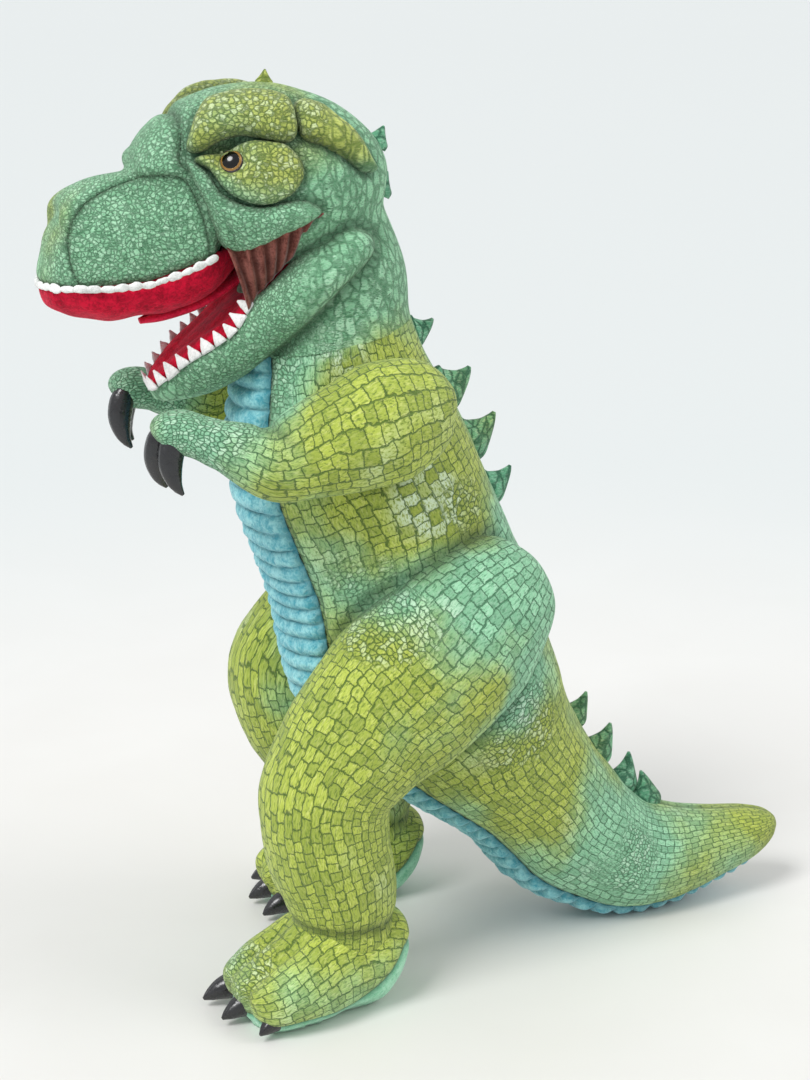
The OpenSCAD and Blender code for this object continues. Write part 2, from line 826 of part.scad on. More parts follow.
torso_skin(left);  // torso_skin_left
torso_skin(right);  // torso_skin_right
belly_panel();
torso_stuffing();
back_spikes();
rump_spikes();
leg_skin(left);  // leg_skin_left
leg_skin(right);  // leg_skin_right
leg_stuffing(left);  // leg_stuffing_left
leg_stuffing(right);  // leg_stuffing_right
foot_upper(left);  // foot_upper_left
foot_upper(right);  // foot_upper_right
foot_sole(left);  // foot_sole_left
foot_sole(right);  // foot_sole_right
foot_stuffing(left);  // foot_stuffing_left
foot_stuffing(right);  // foot_stuffing_right
toe_claws(left);  // toe_claws_left
toe_claws(right);  // toe_claws_right
tail_skin(left);  // tail_skin_left
tail_skin(right);  // tail_skin_right
tail_stuffing();
head_skin(left);  // head_skin_left
head_skin(right);  // head_skin_right
snout_skin();
snout_side(left);  // snout_side_left
snout_side(right);  // snout_side_right
brow(left);  // brow_left
brow(right);  // brow_right
eye_patch(left);  // eye_patch_left
eye_patch(right);  // eye_patch_right
cheek_panel(left);  // cheek_panel_left
cheek_panel(right);  // cheek_panel_right
temple_roll(left);  // temple_roll_left
temple_roll(right);  // temple_roll_right
eye(left);  // eye_left
eye(right);  // eye_right
eye_washer(left);  // eye_washer_left
eye_washer(right);  // eye_washer_right
palate();
upper_teeth();
head_stuffing();
head_spikes();
gusset(left);  // gusset_left
gusset(right);  // gusset_right
jaw_skin();
jaw_lining();
lower_teeth();
jaw_stuffing();
tongue();
arm_skin(left);  // arm_skin_left
arm_skin(right);  // arm_skin_right
arm_stuffing(left);  // arm_stuffing_left
arm_stuffing(right);  // arm_stuffing_right
finger_claws(left);  // finger_claws_left
finger_claws(right);  // finger_claws_right
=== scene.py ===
"""Plush dinosaur: printed scale cloth, a ribbed belly, padded face and stuffed claws. Shapes are in mm."""
import bisect
import math

import bmesh
import bpy
from mathutils import Matrix, Vector, noise
from mathutils.bvhtree import BVHTree
from mathutils.geometry import intersect_point_line
from mathutils.kdtree import KDTree
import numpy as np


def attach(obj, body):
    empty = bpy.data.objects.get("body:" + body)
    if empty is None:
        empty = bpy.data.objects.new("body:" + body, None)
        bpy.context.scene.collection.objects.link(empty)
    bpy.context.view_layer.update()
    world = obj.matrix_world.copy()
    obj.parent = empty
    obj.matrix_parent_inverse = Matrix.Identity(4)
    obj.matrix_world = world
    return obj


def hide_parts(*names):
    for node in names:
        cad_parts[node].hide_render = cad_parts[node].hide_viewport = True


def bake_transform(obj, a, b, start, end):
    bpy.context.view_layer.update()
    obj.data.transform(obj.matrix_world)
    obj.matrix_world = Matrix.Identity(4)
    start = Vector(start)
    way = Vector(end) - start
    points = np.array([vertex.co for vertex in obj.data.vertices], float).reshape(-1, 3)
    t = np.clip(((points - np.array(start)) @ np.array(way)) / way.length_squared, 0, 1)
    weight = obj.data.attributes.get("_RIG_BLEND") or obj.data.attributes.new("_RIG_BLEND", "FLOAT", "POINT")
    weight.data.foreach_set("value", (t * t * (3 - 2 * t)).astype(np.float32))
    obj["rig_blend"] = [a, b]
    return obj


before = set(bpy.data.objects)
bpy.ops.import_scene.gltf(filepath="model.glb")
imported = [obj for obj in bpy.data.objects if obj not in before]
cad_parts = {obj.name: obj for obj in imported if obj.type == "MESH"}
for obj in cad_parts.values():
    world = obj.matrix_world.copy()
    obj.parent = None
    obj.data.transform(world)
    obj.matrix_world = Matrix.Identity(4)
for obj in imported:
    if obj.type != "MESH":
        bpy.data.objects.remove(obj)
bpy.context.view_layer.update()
MM = 0.001
# Lowest height of any cloth, and the least half size of a ring.
ON_FLOOR = 0.2
THINNEST = 0.3
LEFT, RIGHT = 1, -1
SIDES = ((LEFT, "left"), (RIGHT, "right"))
ACROSS = Vector((1, 0, 0))
HINGE = Vector((0, -97, 514))
SHOULDER = Vector((58, -56, 414))
NECK = Vector((0, -80, 455))
NECK_TILT = math.radians(10)
NECK_AXIS = Vector((0, -math.sin(NECK_TILT), math.cos(NECK_TILT)))

# ---------------------------------------------------------------- stations: x, y, z, half width, half depth
TRUNK = [
    (0, -92, 548, 44, 42), (0, -86, 500, 55, 56), (0, -83, 452, 60, 60), (0, -71, 382, 80, 80),
    (0, -41, 301, 86, 86), (0, -14, 221, 88, 93), (0, 21, 168, 82, 76), (0, 60, 119, 66, 58),
    (0, 95, 76, 54, 54), (0, 136, 48, 47, 46), (0, 177, 40, 40, 38), (0, 215, 43, 31, 29),
    (0, 248, 48, 23, 21), (0, 265, 51, 14, 13), (0, 272, 52, 5, 5),
]


def shifted(origin, rows):
    """Stations set out from an origin."""
    return [(origin[0] + r[0], origin[1] + r[1], origin[2] + r[2], r[3], r[4]) for r in rows]


SKULL = shifted(HINGE, [
    (0, 46, 20, 5, 5), (0, 42, 22, 28, 30), (0, 22, 32, 48, 50), (0, -4, 40, 60, 60), (0, -34, 45, 62, 63),
    (0, -56, 43, 57, 61), (0, -70, 38, 52, 56), (0, -82, 23, 48, 46), (0, -92, 9, 46, 46),
    (0, -118, 6, 45, 47), (0, -142, 2, 42, 46), (0, -162, -2, 34, 37), (0, -172, -1, 22, 24),
    (0, -176, 0, 6, 7),
])
JAW = shifted(HINGE, [
    (0, 34, 18, 30, 9), (0, 26, 8, 58, 21), (0, -3, -13, 67, 26), (0, -25, -36, 60, 26),
    (0, -49, -57, 46, 25),
    (0, -78, -75, 32, 22), (0, -98, -87, 20, 14), (0, -107, -92, 7, 6),
])
ARM = shifted(SHOULDER, [
    (26, 28, 4, 6, 6), (29, 22, 4, 22, 28), (33, -8, -2, 33, 41), (37, -38, -10, 31, 37),
    (37, -68, -19, 27, 31),
    (34, -90, -24, 23, 25), (27, -112, -16, 17, 18), (19, -130, -9, 15, 15), (13, -144, -5, 15, 15),
    (10, -156, -6, 12, 12), (9, -160, -8, 4, 4),
])
# Crease inside the elbow, about the shoulder.
ELBOW = [(60, -84, -6), (50, -90, 0), (36, -94, 2), (16, -92, 0)]
LEGS = {
    LEFT: [
        (56, 42, 298, 8, 10), (61, 32, 290, 30, 42), (70, -2, 264, 41, 62), (78, -42, 230, 43, 64),
        (84, -84, 195, 41, 53), (86, -109, 160, 40, 46), (86, -110, 122, 40, 43), (84, -102, 92, 38, 40),
        (80, -98, 66, 37, 37), (80, -98, 46, 35, 35), (80, -98, 40, 20, 20),
    ],
    RIGHT: [
        (-56, 42, 296, 8, 10), (-61, 32, 286, 30, 42), (-70, 0, 258, 41, 62), (-78, -40, 222, 43, 63),
        (-84, -80, 194, 41, 53), (-87, -82, 160, 40, 46), (-88, -66, 124, 40, 42), (-89, -46, 92, 38, 40),
        (-89, -31, 66, 37, 37), (-89, -31, 46, 35, 35), (-89, -31, 40, 20, 20),
    ],
}
FOOT_AT = {LEFT: (Vector((80, -98, 0)), math.radians(10)), RIGHT: (Vector((-89, -31, 0)), math.radians(4))}
FOOT = [
    (0, 42, 28, 4, 4), (0, 38, 30, 24, 24), (0, 22, 34, 36, 34), (0, -8, 34, 41, 36), (0, -38, 26, 46, 29),
    (0, -60, 20, 44, 23), (0, -74, 17, 36, 17), (0, -80, 15, 12, 8),
]
TOES = [(-27, -66, -8), (1, -66, 2), (28, -54, 16)]
TOE_CLAW = [
    (0, 8, 15, 8, 9), (0, 0, 14.5, 9.5, 10), (0, -12, 12.5, 7.5, 8), (0, -21, 9, 4, 4.5),
    (0, -26, 6.5, 1, 1),
]
# Half width of the belly panel at each trunk station.
BELLY = [26, 27, 35, 46, 52, 50, 46, 39, 33, 28, 23, 17, 9, -6, -9]

# ---------------------------------------------------------------- form making


def share_of(value):
    """A value kept from 0 to 1."""
    return min(max(value, 0), 1)


def along(line, k):
    """Point and half sizes at station k on a smooth line."""
    i = min(max(int(k), 0), len(line) - 2)
    t = k - i
    p, q, r, s = (line[min(max(j, 0), len(line) - 1)] for j in (i - 1, i, i + 1, i + 2))
    return [
        0.5 * (2 * b + (c - a) * t + (2 * a - 5 * b + 4 * c - d) * t * t + (3 * b - a - 3 * c + d) * t ** 3)
        for a, b, c, d in zip(p, q, r, s)
    ]


def middle(line, k):
    return Vector(along(line, k)[:3])


def ring_axes(line, k):
    """Heading, side and upper directions of the ring at station k."""
    top = len(line) - 1
    t = (middle(line, min(k + 0.25, top)) - middle(line, max(k - 0.25, 0))).normalized()
    side = (ACROSS - t * ACROSS.dot(t)).normalized()
    return t, side, t.cross(side)


def bulge(c, square):
    return math.copysign(abs(c) ** (2 / square), c)


def on_skin(line, k, angle, out=0.0, square=2.0):
    """Point on a form's skin; angle in degrees, out how far it stands off."""
    p = along(line, k)
    _, side, up = ring_axes(line, k)
    a = math.radians(angle)
    arm = (side * bulge(math.cos(a), square) * max(p[3], THINNEST)
           + up * bulge(math.sin(a), square) * max(p[4], THINNEST))
    return Vector(p[:3]) + arm + arm.normalized() * out


def stuffed(line, around, rows, seam=-90.0, square=2.0, grow=0.0):
    """Closed form through a line's stations; its cloth map is in mm, and k, a, s say where a point lies."""
    steps = 400
    top = len(line) - 1
    ks = [top * i / steps for i in range(steps + 1)]
    run = [0.0]
    for lo, hi in zip(ks, ks[1:]):
        p, q = along(line, lo), along(line, hi)
        ahead = (Vector(q[:3]) - Vector(p[:3])).length
        run.append(run[-1] + math.hypot(ahead, (q[3] - p[3] + q[4] - p[4]) / 2))
    girth = math.pi * sum(along(line, k)[3] + along(line, k)[4] for k in ks) / len(ks)
    bm = bmesh.new()
    bmesh.ops.create_grid(bm, x_segments=around, y_segments=rows, size=0.5)
    place = {name: bm.verts.layers.float.new(name) for name in "kas"}
    uv = bm.loops.layers.uv.new("cloth")
    for face in bm.faces:
        for loop in face.loops:
            x, y, _ = loop.vert.co
            loop[uv].uv = ((x + 0.5) * girth, (y + 0.5) * run[-1])
    for vert in bm.verts:
        turn, row = vert.co.x + 0.5, round((vert.co.y + 0.5) * rows)
        s = run[-1] * min(max(row - 1, 0) / (rows - 2), 1)
        j = min(max(bisect.bisect_right(run, s) - 1, 0), steps - 1)
        k = ks[j] + (ks[j + 1] - ks[j]) * (s - run[j]) / max(run[j + 1] - run[j], 1e-9)
        k = min(max(k, 0), top)
        vert[place["k"]], vert[place["a"]], vert[place["s"]] = k, seam + 360 * turn, s
        if row in (0, rows):
            vert.co = middle(line, 0 if row == 0 else top)
        else:
            vert.co = on_skin(line, k, seam + 360 * turn, grow, square)
    bmesh.ops.remove_doubles(bm, verts=bm.verts, dist=0.01)
    bmesh.ops.recalc_face_normals(bm, faces=bm.faces)
    bm.normal_update()
    return bm


def layer(bm, name):
    return bm.verts.layers.float[name]


def whole(bm):
    """All of a mesh, for a cut."""
    return bm.verts[:] + bm.edges[:] + bm.faces[:]


def cut_along(bm, field):
    """Splits faces where field is zero. Returns each point's value, with 0 on the line."""
    shade_layer(bm)
    value = {v: field(v) for v in bm.verts}
    for edge in list(bm.edges):
        a, b = edge.verts
        if value[a] * value[b] < 0:
            share = value[a] / (value[a] - value[b])
            if share < 0.12:
                value[a] = 0.0
            elif share > 0.88:
                value[b] = 0.0
            else:
                _, new = bmesh.utils.edge_split(edge, a, share)
                value[new] = 0.0
    for face in list(bm.faces):
        marks = [value[v] for v in face.verts]
        on = [v for v in face.verts if value[v] == 0.0]
        if min(marks) < 0 < max(marks) and len(on) >= 2:
            for i, first in enumerate(on):
                apart = [v for v in on[i + 1:] if not bm.edges.get((first, v))]
                if apart:
                    bmesh.utils.face_split(face, first, apart[0])
                    break
    bm.normal_update()
    return value


def keep_side(bm, value, sign):
    """A copy of the mesh with only the faces on one side of a cut."""
    bm.verts.index_update()
    marks = [value[v] for v in bm.verts]
    part = bm.copy()
    part.verts.ensure_lookup_table()
    gone = [f for f in part.faces if sign * sum(marks[v.index] for v in f.verts) <= 0]
    bmesh.ops.delete(part, geom=gone, context="FACES")
    part.normal_update()
    return part


def tree_of(points):
    kd = KDTree(max(len(points), 1))
    for i, p in enumerate(points):
        kd.insert(p, i)
    kd.balance()
    return kd


def shade_layer(bm):
    """Layer that says how deep in a crease each point lies, 0 to 1; the cloth's colour is darkened there as
    painted shade.
    """
    return bm.verts.layers.float.get("deep") or bm.verts.layers.float.new("deep")


def sink(bm, points, depth, width, shade=1.0):
    """A soft crease that follows a row of points; a negative depth raises a ridge. A sunk crease is also
    marked, times shade, for painted shade in the deep layer.
    """
    kd = tree_of(points)
    dark = shade_layer(bm)
    for v in bm.verts:
        _, _, d = kd.find(v.co)
        if d is not None and d < 3 * width:
            share = math.exp(-((d / width) ** 2))
            v.co -= v.normal * depth * share
            if depth > 0:
                v[dark] = max(v[dark], share * shade)
    bm.normal_update()


def tuck(bm, other, depth, width):
    """Pulls a form in where another is sewn to it, and marks painted shade along the join in the deep layer.
    """
    dark = shade_layer(bm)
    for v in bm.verts:
        near = other.find_nearest(v.co, 3 * width)
        if near[0] is not None:
            share = math.exp(-((near[3] / width) ** 2))
            v.co -= v.normal * depth * share
            v[dark] = max(v[dark], share)
    bm.normal_update()


def lumpy(bm, size, amount, seed=0.0):
    """Uneven filling."""
    for v in bm.verts:
        v.co += v.normal * noise.noise(v.co / size + Vector((seed, 0, 0))) * amount
    bm.normal_update()


def path_through(corners, step=1.5):
    """Evenly close points on a smooth open curve through corners."""
    line = [tuple(c) + (1, 1) for c in corners]
    size = sum((Vector(b) - Vector(a)).length for a, b in zip(corners, corners[1:]))
    n = max(int(size / step), 4)
    return [middle(line, (len(line) - 1) * i / n) for i in range(n + 1)]


def rounded(outline, n=6):
    """Closed smooth outline of [y, z] points about the jaw hinge."""
    m = len(outline)
    loop = [outline[i % m] for i in range(-1, m + 3)]
    line = [(0, p[0], p[1], 0, 0) for p in loop]
    return [middle(line, 1 + i / n).yz for i in range(m * n)]


def inside(outline, y, z):
    """Signed distance to a closed outline, positive inside."""
    p = Vector((y, z))
    best, odd = 1e9, False
    for a, b in zip(outline, outline[1:] + outline[:1]):
        ab = b - a
        t = share_of((p - a).dot(ab) / max(ab.length_squared, 1e-9))
        best = min(best, (p - a - ab * t).length)
        if (a.y > z) != (b.y > z) and y < a.x + (z - a.y) / (b.y - a.y) * (b.x - a.x):
            odd = not odd
    return best if odd else -best


def beyond(line, y, z):
    """Signed distance below an open line of [y, z] points that runs forward."""
    best = 1e9
    p = Vector((y, z))
    for a, b in zip(line, line[1:]):
        a, b = Vector(a), Vector(b)
        t = (p - a).dot(b - a) / (b - a).length_squared
        t = share_of(t)
        d = p - a - (b - a) * t
        if d.length < abs(best):
            side = (b - a).cross(p - a)
            best = d.length if side > 0 else -d.length
    return best


# ---------------------------------------------------------------- colour patches: x, y, z, reach, weight
MINT = [
    (105, -10, 312, 55, 1), (40, 60, 300, 60, 0.9), (40, 127, 56, 45, 1), (10, 215, 50, 35, 0.4),
    (122, -76, 204, 26, 0.7), (45, -205, 530, 90, 1), (30, -110, 610, 60, 0.7), (50, -70, 500, 70, 0.8),
    (40, -166, 454, 70, 1), (85, -37, 408, 22, 0.5), (70, -190, 410, 30, 0.45), (85, 30, 205, 34, 0.9),
    (80, -98, 12, 30, 0.5), (0, -40, 560, 70, 0.6),
]
LIME = [
    (75, 52, 153, 40, 1), (115, 3, 225, 26, 0.9), (120, -117, 180, 70, 0.8), (100, -110, 100, 60, 0.7),
    (80, -20, 345, 50, 1), (95, -90, 420, 60, 0.8), (50, -90, 517, 20, 0.7), (0, 250, 57, 22, 0.5),
    (60, -160, 600, 24, 0.9), (50, -90, 605, 36, 0.9), (20, -130, 625, 40, 0.9), (60, -20, 470, 34, 0.7),
    (30, -275, 545, 30, 0.9), (80, -98, 40, 40, 0.9), (50, -140, 575, 30, 1), (50, -160, 610, 30, 1),
    (60, -60, 440, 36, 0.7),
]
FOIL = [
    (120, -34, 285, 26, 0.6), (82, -35, 352, 24, 0.8), (85, 40, 191, 16, 0.6), (75, -45, 510, 34, 0.7),
    (100, -135, 260, 26, 0.5), (45, -230, 548, 30, 0.3), (60, -100, 470, 30, 0.4), (90, -60, 425, 24, 0.4),
]
FINE = [
    (112, -80, 285, 42, 1), (85, 10, 350, 26, 1), (45, -215, 530, 80, 1), (85, 42, 185, 34, 1),
    (60, -150, 600, 50, 1), (40, -150, 460, 50, 0.6), (50, 140, 60, 40, 0.5), (100, -160, 250, 30, 0.6),
    (90, -175, 40, 30, 0.8), (75, -190, 412, 34, 0.8),
]


def patch(p, table):
    """Strength of a printed patch at a point; both sides of the cloth are printed alike."""
    total = 0.0
    for x, y, z, reach, weight in table:
        d2 = (abs(p.x) - x) ** 2 + (p.y - y) ** 2 + (p.z - z) ** 2
        total += weight * math.exp(-d2 / (reach * reach))
    return min(total, 1.0)


# ---------------------------------------------------------------- finished pieces
def piece(name, bm, body, material, nodes=(), wall=0.0, subdivide=0, bend=None):
    """Turns a mesh in mm into a finished piece, riding on its body or bending between two."""
    tables = (("mint", MINT), ("lime", LIME), ("foil", FOIL), ("fine", FINE))
    marks = {key: [patch(v.co, table) for v in bm.verts] for key, table in tables}
    # The deep layer, carried over as an attribute, holds the painted shade for creases, seams and grooves.
    dark = shade_layer(bm)
    marks["deep"] = [v[dark] for v in bm.verts]
    for v in bm.verts:
        v.co.z = max(v.co.z, ON_FLOOR)
    bmesh.ops.scale(bm, vec=(MM, MM, MM), verts=bm.verts)
    mesh = bpy.data.meshes.new(name)
    bm.to_mesh(mesh)
    bm.free()
    for key, values in marks.items():
        mesh.attributes.new(key, "FLOAT", "POINT").data.foreach_set("value", values)
    mesh.shade_smooth()
    mesh.materials.append(material)
    ob = bpy.data.objects.new(name, mesh)
    bpy.context.collection.objects.link(ob)
    if subdivide:
        soft = ob.modifiers.new("soft", "SUBSURF")
        soft.levels = soft.render_levels = subdivide
    if wall:
        cloth = ob.modifiers.new("cloth", "SOLIDIFY")
        cloth.thickness = wall * MM
        cloth.offset = -1
    if ob.modifiers:
        seen = ob.evaluated_get(bpy.context.evaluated_depsgraph_get())
        settled = bpy.data.meshes.new_from_object(seen)
        ob.modifiers.clear()
        ob.data = settled
        bpy.data.meshes.remove(mesh)
        settled.name = name
    if bend:
        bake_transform(ob, *bend)
    else:
        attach(ob, body)
    if nodes:
        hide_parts(*nodes)
    return ob


# ---------------------------------------------------------------- materials
def linear(code):
    """sRGB hex to a linear colour."""
    parts = [int(code[i:i + 2], 16) / 255 for i in (0, 2, 4)]
    return [c / 12.92 if c <= 0.04045 else ((c + 0.055) / 1.055) ** 2.4 for c in parts] + [1.0]


def add(tree, kind, values=None, **settings):
    """One node with its settings; a value that is a socket is linked."""
    node = tree.nodes.new(kind)
    for key, setting in settings.items():
        setattr(node, key, setting)
    for key, value in (values or {}).items():
        if isinstance(value, bpy.types.NodeSocket):
            tree.links.new(value, node.inputs[key])
        else:
            node.inputs[key].default_value = value
    return node


def new_material(name, **sockets):
    """Empty material with its shader; sockets set constant values."""
    material = bpy.data.materials.new(name)
    material.use_nodes = True
    tree = material.node_tree
    shader = tree.nodes["Principled BSDF"]
    for key, value in sockets.items():
        shader.inputs[key.replace("_", " ")].default_value = value
    return material, tree, shader


def maths(tree, operation, a, b=0.0, c=0.0, clamp=False):
    return add(tree, "ShaderNodeMath", {0: a, 1: b, 2: c}, operation=operation, use_clamp=clamp).outputs[0]


def blend_colours(tree, share, a, b, blend="MIX"):
    return add(tree, "ShaderNodeMix", {0: share, 6: a, 7: b}, data_type="RGBA", blend_type=blend).outputs[2]


def step_between(tree, value, low, high, to_low=0.0, to_high=1.0):
    return add(tree, "ShaderNodeMapRange", {0: value, 1: low, 2: high, 3: to_low, 4: to_high},
               interpolation_type="SMOOTHSTEP").outputs[0]


def shift_by(tree, place, colour, reach):
    """Moves a place by a noise colour, by up to half of reach each way."""
    centred = add(tree, "ShaderNodeVectorMath", {0: colour, 1: (0.5, 0.5, 0.5)}, operation="SUBTRACT")
    push = add(tree, "ShaderNodeVectorMath", {0: centred.outputs[0], 3: reach}, operation="SCALE")
    return add(tree, "ShaderNodeVectorMath", {0: place, 1: push.outputs[0]}, operation="ADD").outputs[0]


def scale_plush(name, lime, mint, dark, tint=0.5, cell=(6.5, 9.5), small=3.4, foil=1.0, crack=0.86,
                solid=False):
    """Short-pile plush, printed: lime and mint patches under dark cracks that part it into reptile scales,
    long rows of oblong scales and fields of small round ones, with silver foil pressed on its high spots.
    Cell and small size the two kinds of scale in mm, and solid lays them in space, for bent cloth."""
    material, tree, shader = new_material(name, Roughness=0.62, Sheen_Weight=0.25, Sheen_Roughness=0.45,
                                          Specular_IOR_Level=0.35)
    shader.inputs["Sheen Tint"].default_value = linear("E4F3D8")
    obj = add(tree, "ShaderNodeTexCoord").outputs["Object"]
    if solid:
        cloth = add(tree, "ShaderNodeVectorMath", {0: obj, 3: 1000.0}, operation="SCALE").outputs[0]
    else:
        cloth = add(tree, "ShaderNodeUVMap", uv_map="cloth").outputs[0]
    mark = {k: add(tree, "ShaderNodeAttribute", attribute_name=k).outputs["Fac"]
            for k in ("mint", "lime", "foil", "fine", "deep")}
    wide = add(tree, "ShaderNodeTexNoise", {"Vector": obj, "Scale": 11.0, "Detail": 3.0, "Roughness": 0.55})
    drift = add(tree, "ShaderNodeTexNoise", {"Vector": obj, "Scale": 16.0, "Detail": 1.0})
    wobble = add(tree, "ShaderNodeTexNoise", {"Vector": obj, "Scale": 130.0, "Detail": 1.0})
    place = shift_by(tree, cloth, drift.outputs["Color"], 16.0)
    place = shift_by(tree, place, wobble.outputs["Color"], 3.4)
    stretch = add(tree, "ShaderNodeMapping", {"Vector": cloth, "Scale": (1.0, 0.3, 1)}).outputs[0]
    fibres = add(tree, "ShaderNodeTexNoise",
                 {"Vector": stretch, "Scale": 1.0, "Detail": 4.0, "Roughness": 0.62, "Distortion": 0.5})
    place = shift_by(tree, place, fibres.outputs["Color"], 2.6)
    fibres = fibres.outputs["Fac"]
    brushed = add(tree, "ShaderNodeMapping",
                  {"Vector": cloth, "Rotation": (0, 0, 1.1), "Scale": (0.9, 0.22, 1)}).outputs[0]
    brush = add(tree, "ShaderNodeTexNoise", {"Vector": brushed, "Scale": 1.0, "Detail": 3.0}).outputs["Fac"]
    shape = "3D" if solid else "2D"

    def cells(spot, size):
        """Share that lies in a crack, and each cell's own tone, for round cells of a size in mm."""
        values = {"Vector": spot, "Scale": 1 / size, "Randomness": 0.85}
        edge = add(tree, "ShaderNodeTexVoronoi", values, voronoi_dimensions=shape,
                   feature="DISTANCE_TO_EDGE").outputs["Distance"]
        own = add(tree, "ShaderNodeTexVoronoi", values, voronoi_dimensions=shape, feature="F1")
        own = add(tree, "ShaderNodeSeparateColor", {0: own.outputs["Color"]}).outputs[0]
        return step_between(tree, edge, 0.01, 0.17, 1, 0), own

    gap_small, many_tone = cells(place, small)
    if solid:
        long = add(tree, "ShaderNodeMapping",
                   {"Vector": place, "Rotation": (0.5, 0, 0), "Scale": (1, 1, 0.6)})
        rows_gap, rows_tone = cells(long.outputs[0], cell[0])
    else:
        turned = add(tree, "ShaderNodeMapping",
                     {"Vector": place, "Rotation": (0, 0, math.pi / 2)}).outputs[0]
        rows = add(tree, "ShaderNodeTexBrick",
                   {"Vector": turned, "Color1": (0, 0, 0, 1), "Color2": (1, 1, 1, 1),
                    "Mortar": (0.5, 0.5, 0.5, 1), "Scale": 1.0, "Mortar Size": 0.55, "Mortar Smooth": 0.8,
                    "Brick Width": cell[1], "Row Height": cell[0]}, offset=0.43, squash=0.7,
                   squash_frequency=3)
        rows_gap = rows.outputs["Fac"]
        rows_tone = add(tree, "ShaderNodeSeparateColor", {0: rows.outputs["Color"]}).outputs[0]
    which = step_between(tree, maths(tree, "ADD", mark["fine"], drift.outputs["Fac"]), 0.78, 1.0)
    gap = add(tree, "ShaderNodeMix", {0: which, 2: rows_gap, 3: gap_small}).outputs[0]
    tone = add(tree, "ShaderNodeMix", {0: which, 2: rows_tone, 3: many_tone}).outputs[0]
    pile = add(tree, "ShaderNodeTexNoise", {"Vector": cloth, "Scale": 1.5, "Detail": 2.0}).outputs["Fac"]
    where = maths(tree, "SUBTRACT", mark["mint"], mark["lime"])
    where = maths(tree, "ADD", where, maths(tree, "MULTIPLY_ADD", wide.outputs["Fac"], 2.6, -1.3))
    where = step_between(tree, maths(tree, "ADD", where, tint), 0.05, 0.95)
    base = blend_colours(tree, where, linear(lime), linear(mint))
    deep = blend_colours(tree, where, linear(dark[0]), linear(dark[1]))
    pale = blend_colours(tree, where, linear("E2E68C"), linear("C4E8CC"))
    base = blend_colours(tree, step_between(tree, brush, 0.45, 0.75, 0.0, 0.6), base, pale)
    base = blend_colours(tree, step_between(tree, tone, 0.0, 0.9, 0.42 * crack, 0.0), base, deep)
    base = blend_colours(tree, step_between(tree, fibres, 0.53, 0.33, 0.0, 0.7), base, deep)
    glint = maths(tree, "ADD", mark["foil"], maths(tree, "MULTIPLY_ADD", drift.outputs["Fac"], 1.5, -0.62))
    glint = maths(tree, "MULTIPLY", step_between(tree, glint, 0.25, 0.75), foil)
    spark = maths(tree, "MULTIPLY", which, step_between(tree, tone, 0.62, 0.8, 0.0, 0.55 * foil))
    glint = maths(tree, "MAXIMUM", maths(tree, "MULTIPLY", glint, step_between(tree, tone, 0.2, 0.6)), spark)
    glint = maths(tree, "MULTIPLY", glint, step_between(tree, fibres, 0.36, 0.56))
    base = blend_colours(tree, maths(tree, "MULTIPLY", glint, 0.72), base, linear("D6EBD6"))
    colour = blend_colours(tree, maths(tree, "MULTIPLY", gap, crack), base, deep)
    # Painted shade: points in creases, seams and hollows, marked in the deep attribute, are darkened towards
    # near black.
    shadow = blend_colours(tree, 0.75, deep, (0.01, 0.03, 0.01, 1))
    colour = blend_colours(tree, maths(tree, "MULTIPLY", mark["deep"], 0.6), colour, shadow)
    tree.links.new(colour, shader.inputs["Base Color"])
    tree.links.new(step_between(tree, glint, 0, 1, 0.62, 0.34), shader.inputs["Roughness"])
    height = maths(tree, "MULTIPLY_ADD", gap, -1.0, maths(tree, "MULTIPLY", pile, 0.55))
    height = maths(tree, "MULTIPLY_ADD", fibres, 0.5, height)
    bump = add(tree, "ShaderNodeBump", {"Height": height, "Strength": 0.8, "Distance": 0.0011})
    tree.links.new(bump.outputs[0], shader.inputs["Normal"])
    return material


def pile_cloth(name, light, deep, sheen, tuft=2.2, depth=0.0012, rough=0.85, tint="FFFFFF", flow=1.0):
    """Dense short pile: brushed tufts that catch the light at a low angle and part into darker lines."""
    material, tree, shader = new_material(name, Roughness=rough, Sheen_Weight=sheen, Sheen_Roughness=0.35,
                                          Specular_IOR_Level=0.2)
    shader.inputs["Sheen Tint"].default_value = linear(tint)
    obj = add(tree, "ShaderNodeTexCoord").outputs["Object"]
    sized = add(tree, "ShaderNodeMapping", {"Vector": obj, "Scale": (1, flow, 1)}).outputs[0]
    tufts = add(tree, "ShaderNodeTexNoise",
                {"Vector": sized, "Scale": 1000 / tuft, "Detail": 3.0, "Distortion": 0.8}).outputs["Fac"]
    clumps = add(tree, "ShaderNodeTexNoise", {"Vector": obj, "Scale": 120.0, "Detail": 2.0}).outputs["Fac"]
    both = maths(tree, "MULTIPLY_ADD", clumps, 0.8, maths(tree, "MULTIPLY", tufts, 0.9))
    colour = blend_colours(tree, step_between(tree, both, 0.55, 1.1), linear(deep), linear(light))
    # Painted shade: points in creases, grooves and seams (the deep attribute) are darkened.
    crease = add(tree, "ShaderNodeAttribute", attribute_name="deep").outputs["Fac"]
    dark = [c * 0.45 for c in linear(deep)[:3]] + [1]
    colour = blend_colours(tree, maths(tree, "MULTIPLY", crease, 0.8), colour, dark)
    tree.links.new(colour, shader.inputs["Base Color"])
    bump = add(tree, "ShaderNodeBump", {"Height": both, "Strength": 0.75, "Distance": depth})
    tree.links.new(bump.outputs[0], shader.inputs["Normal"])
    return material


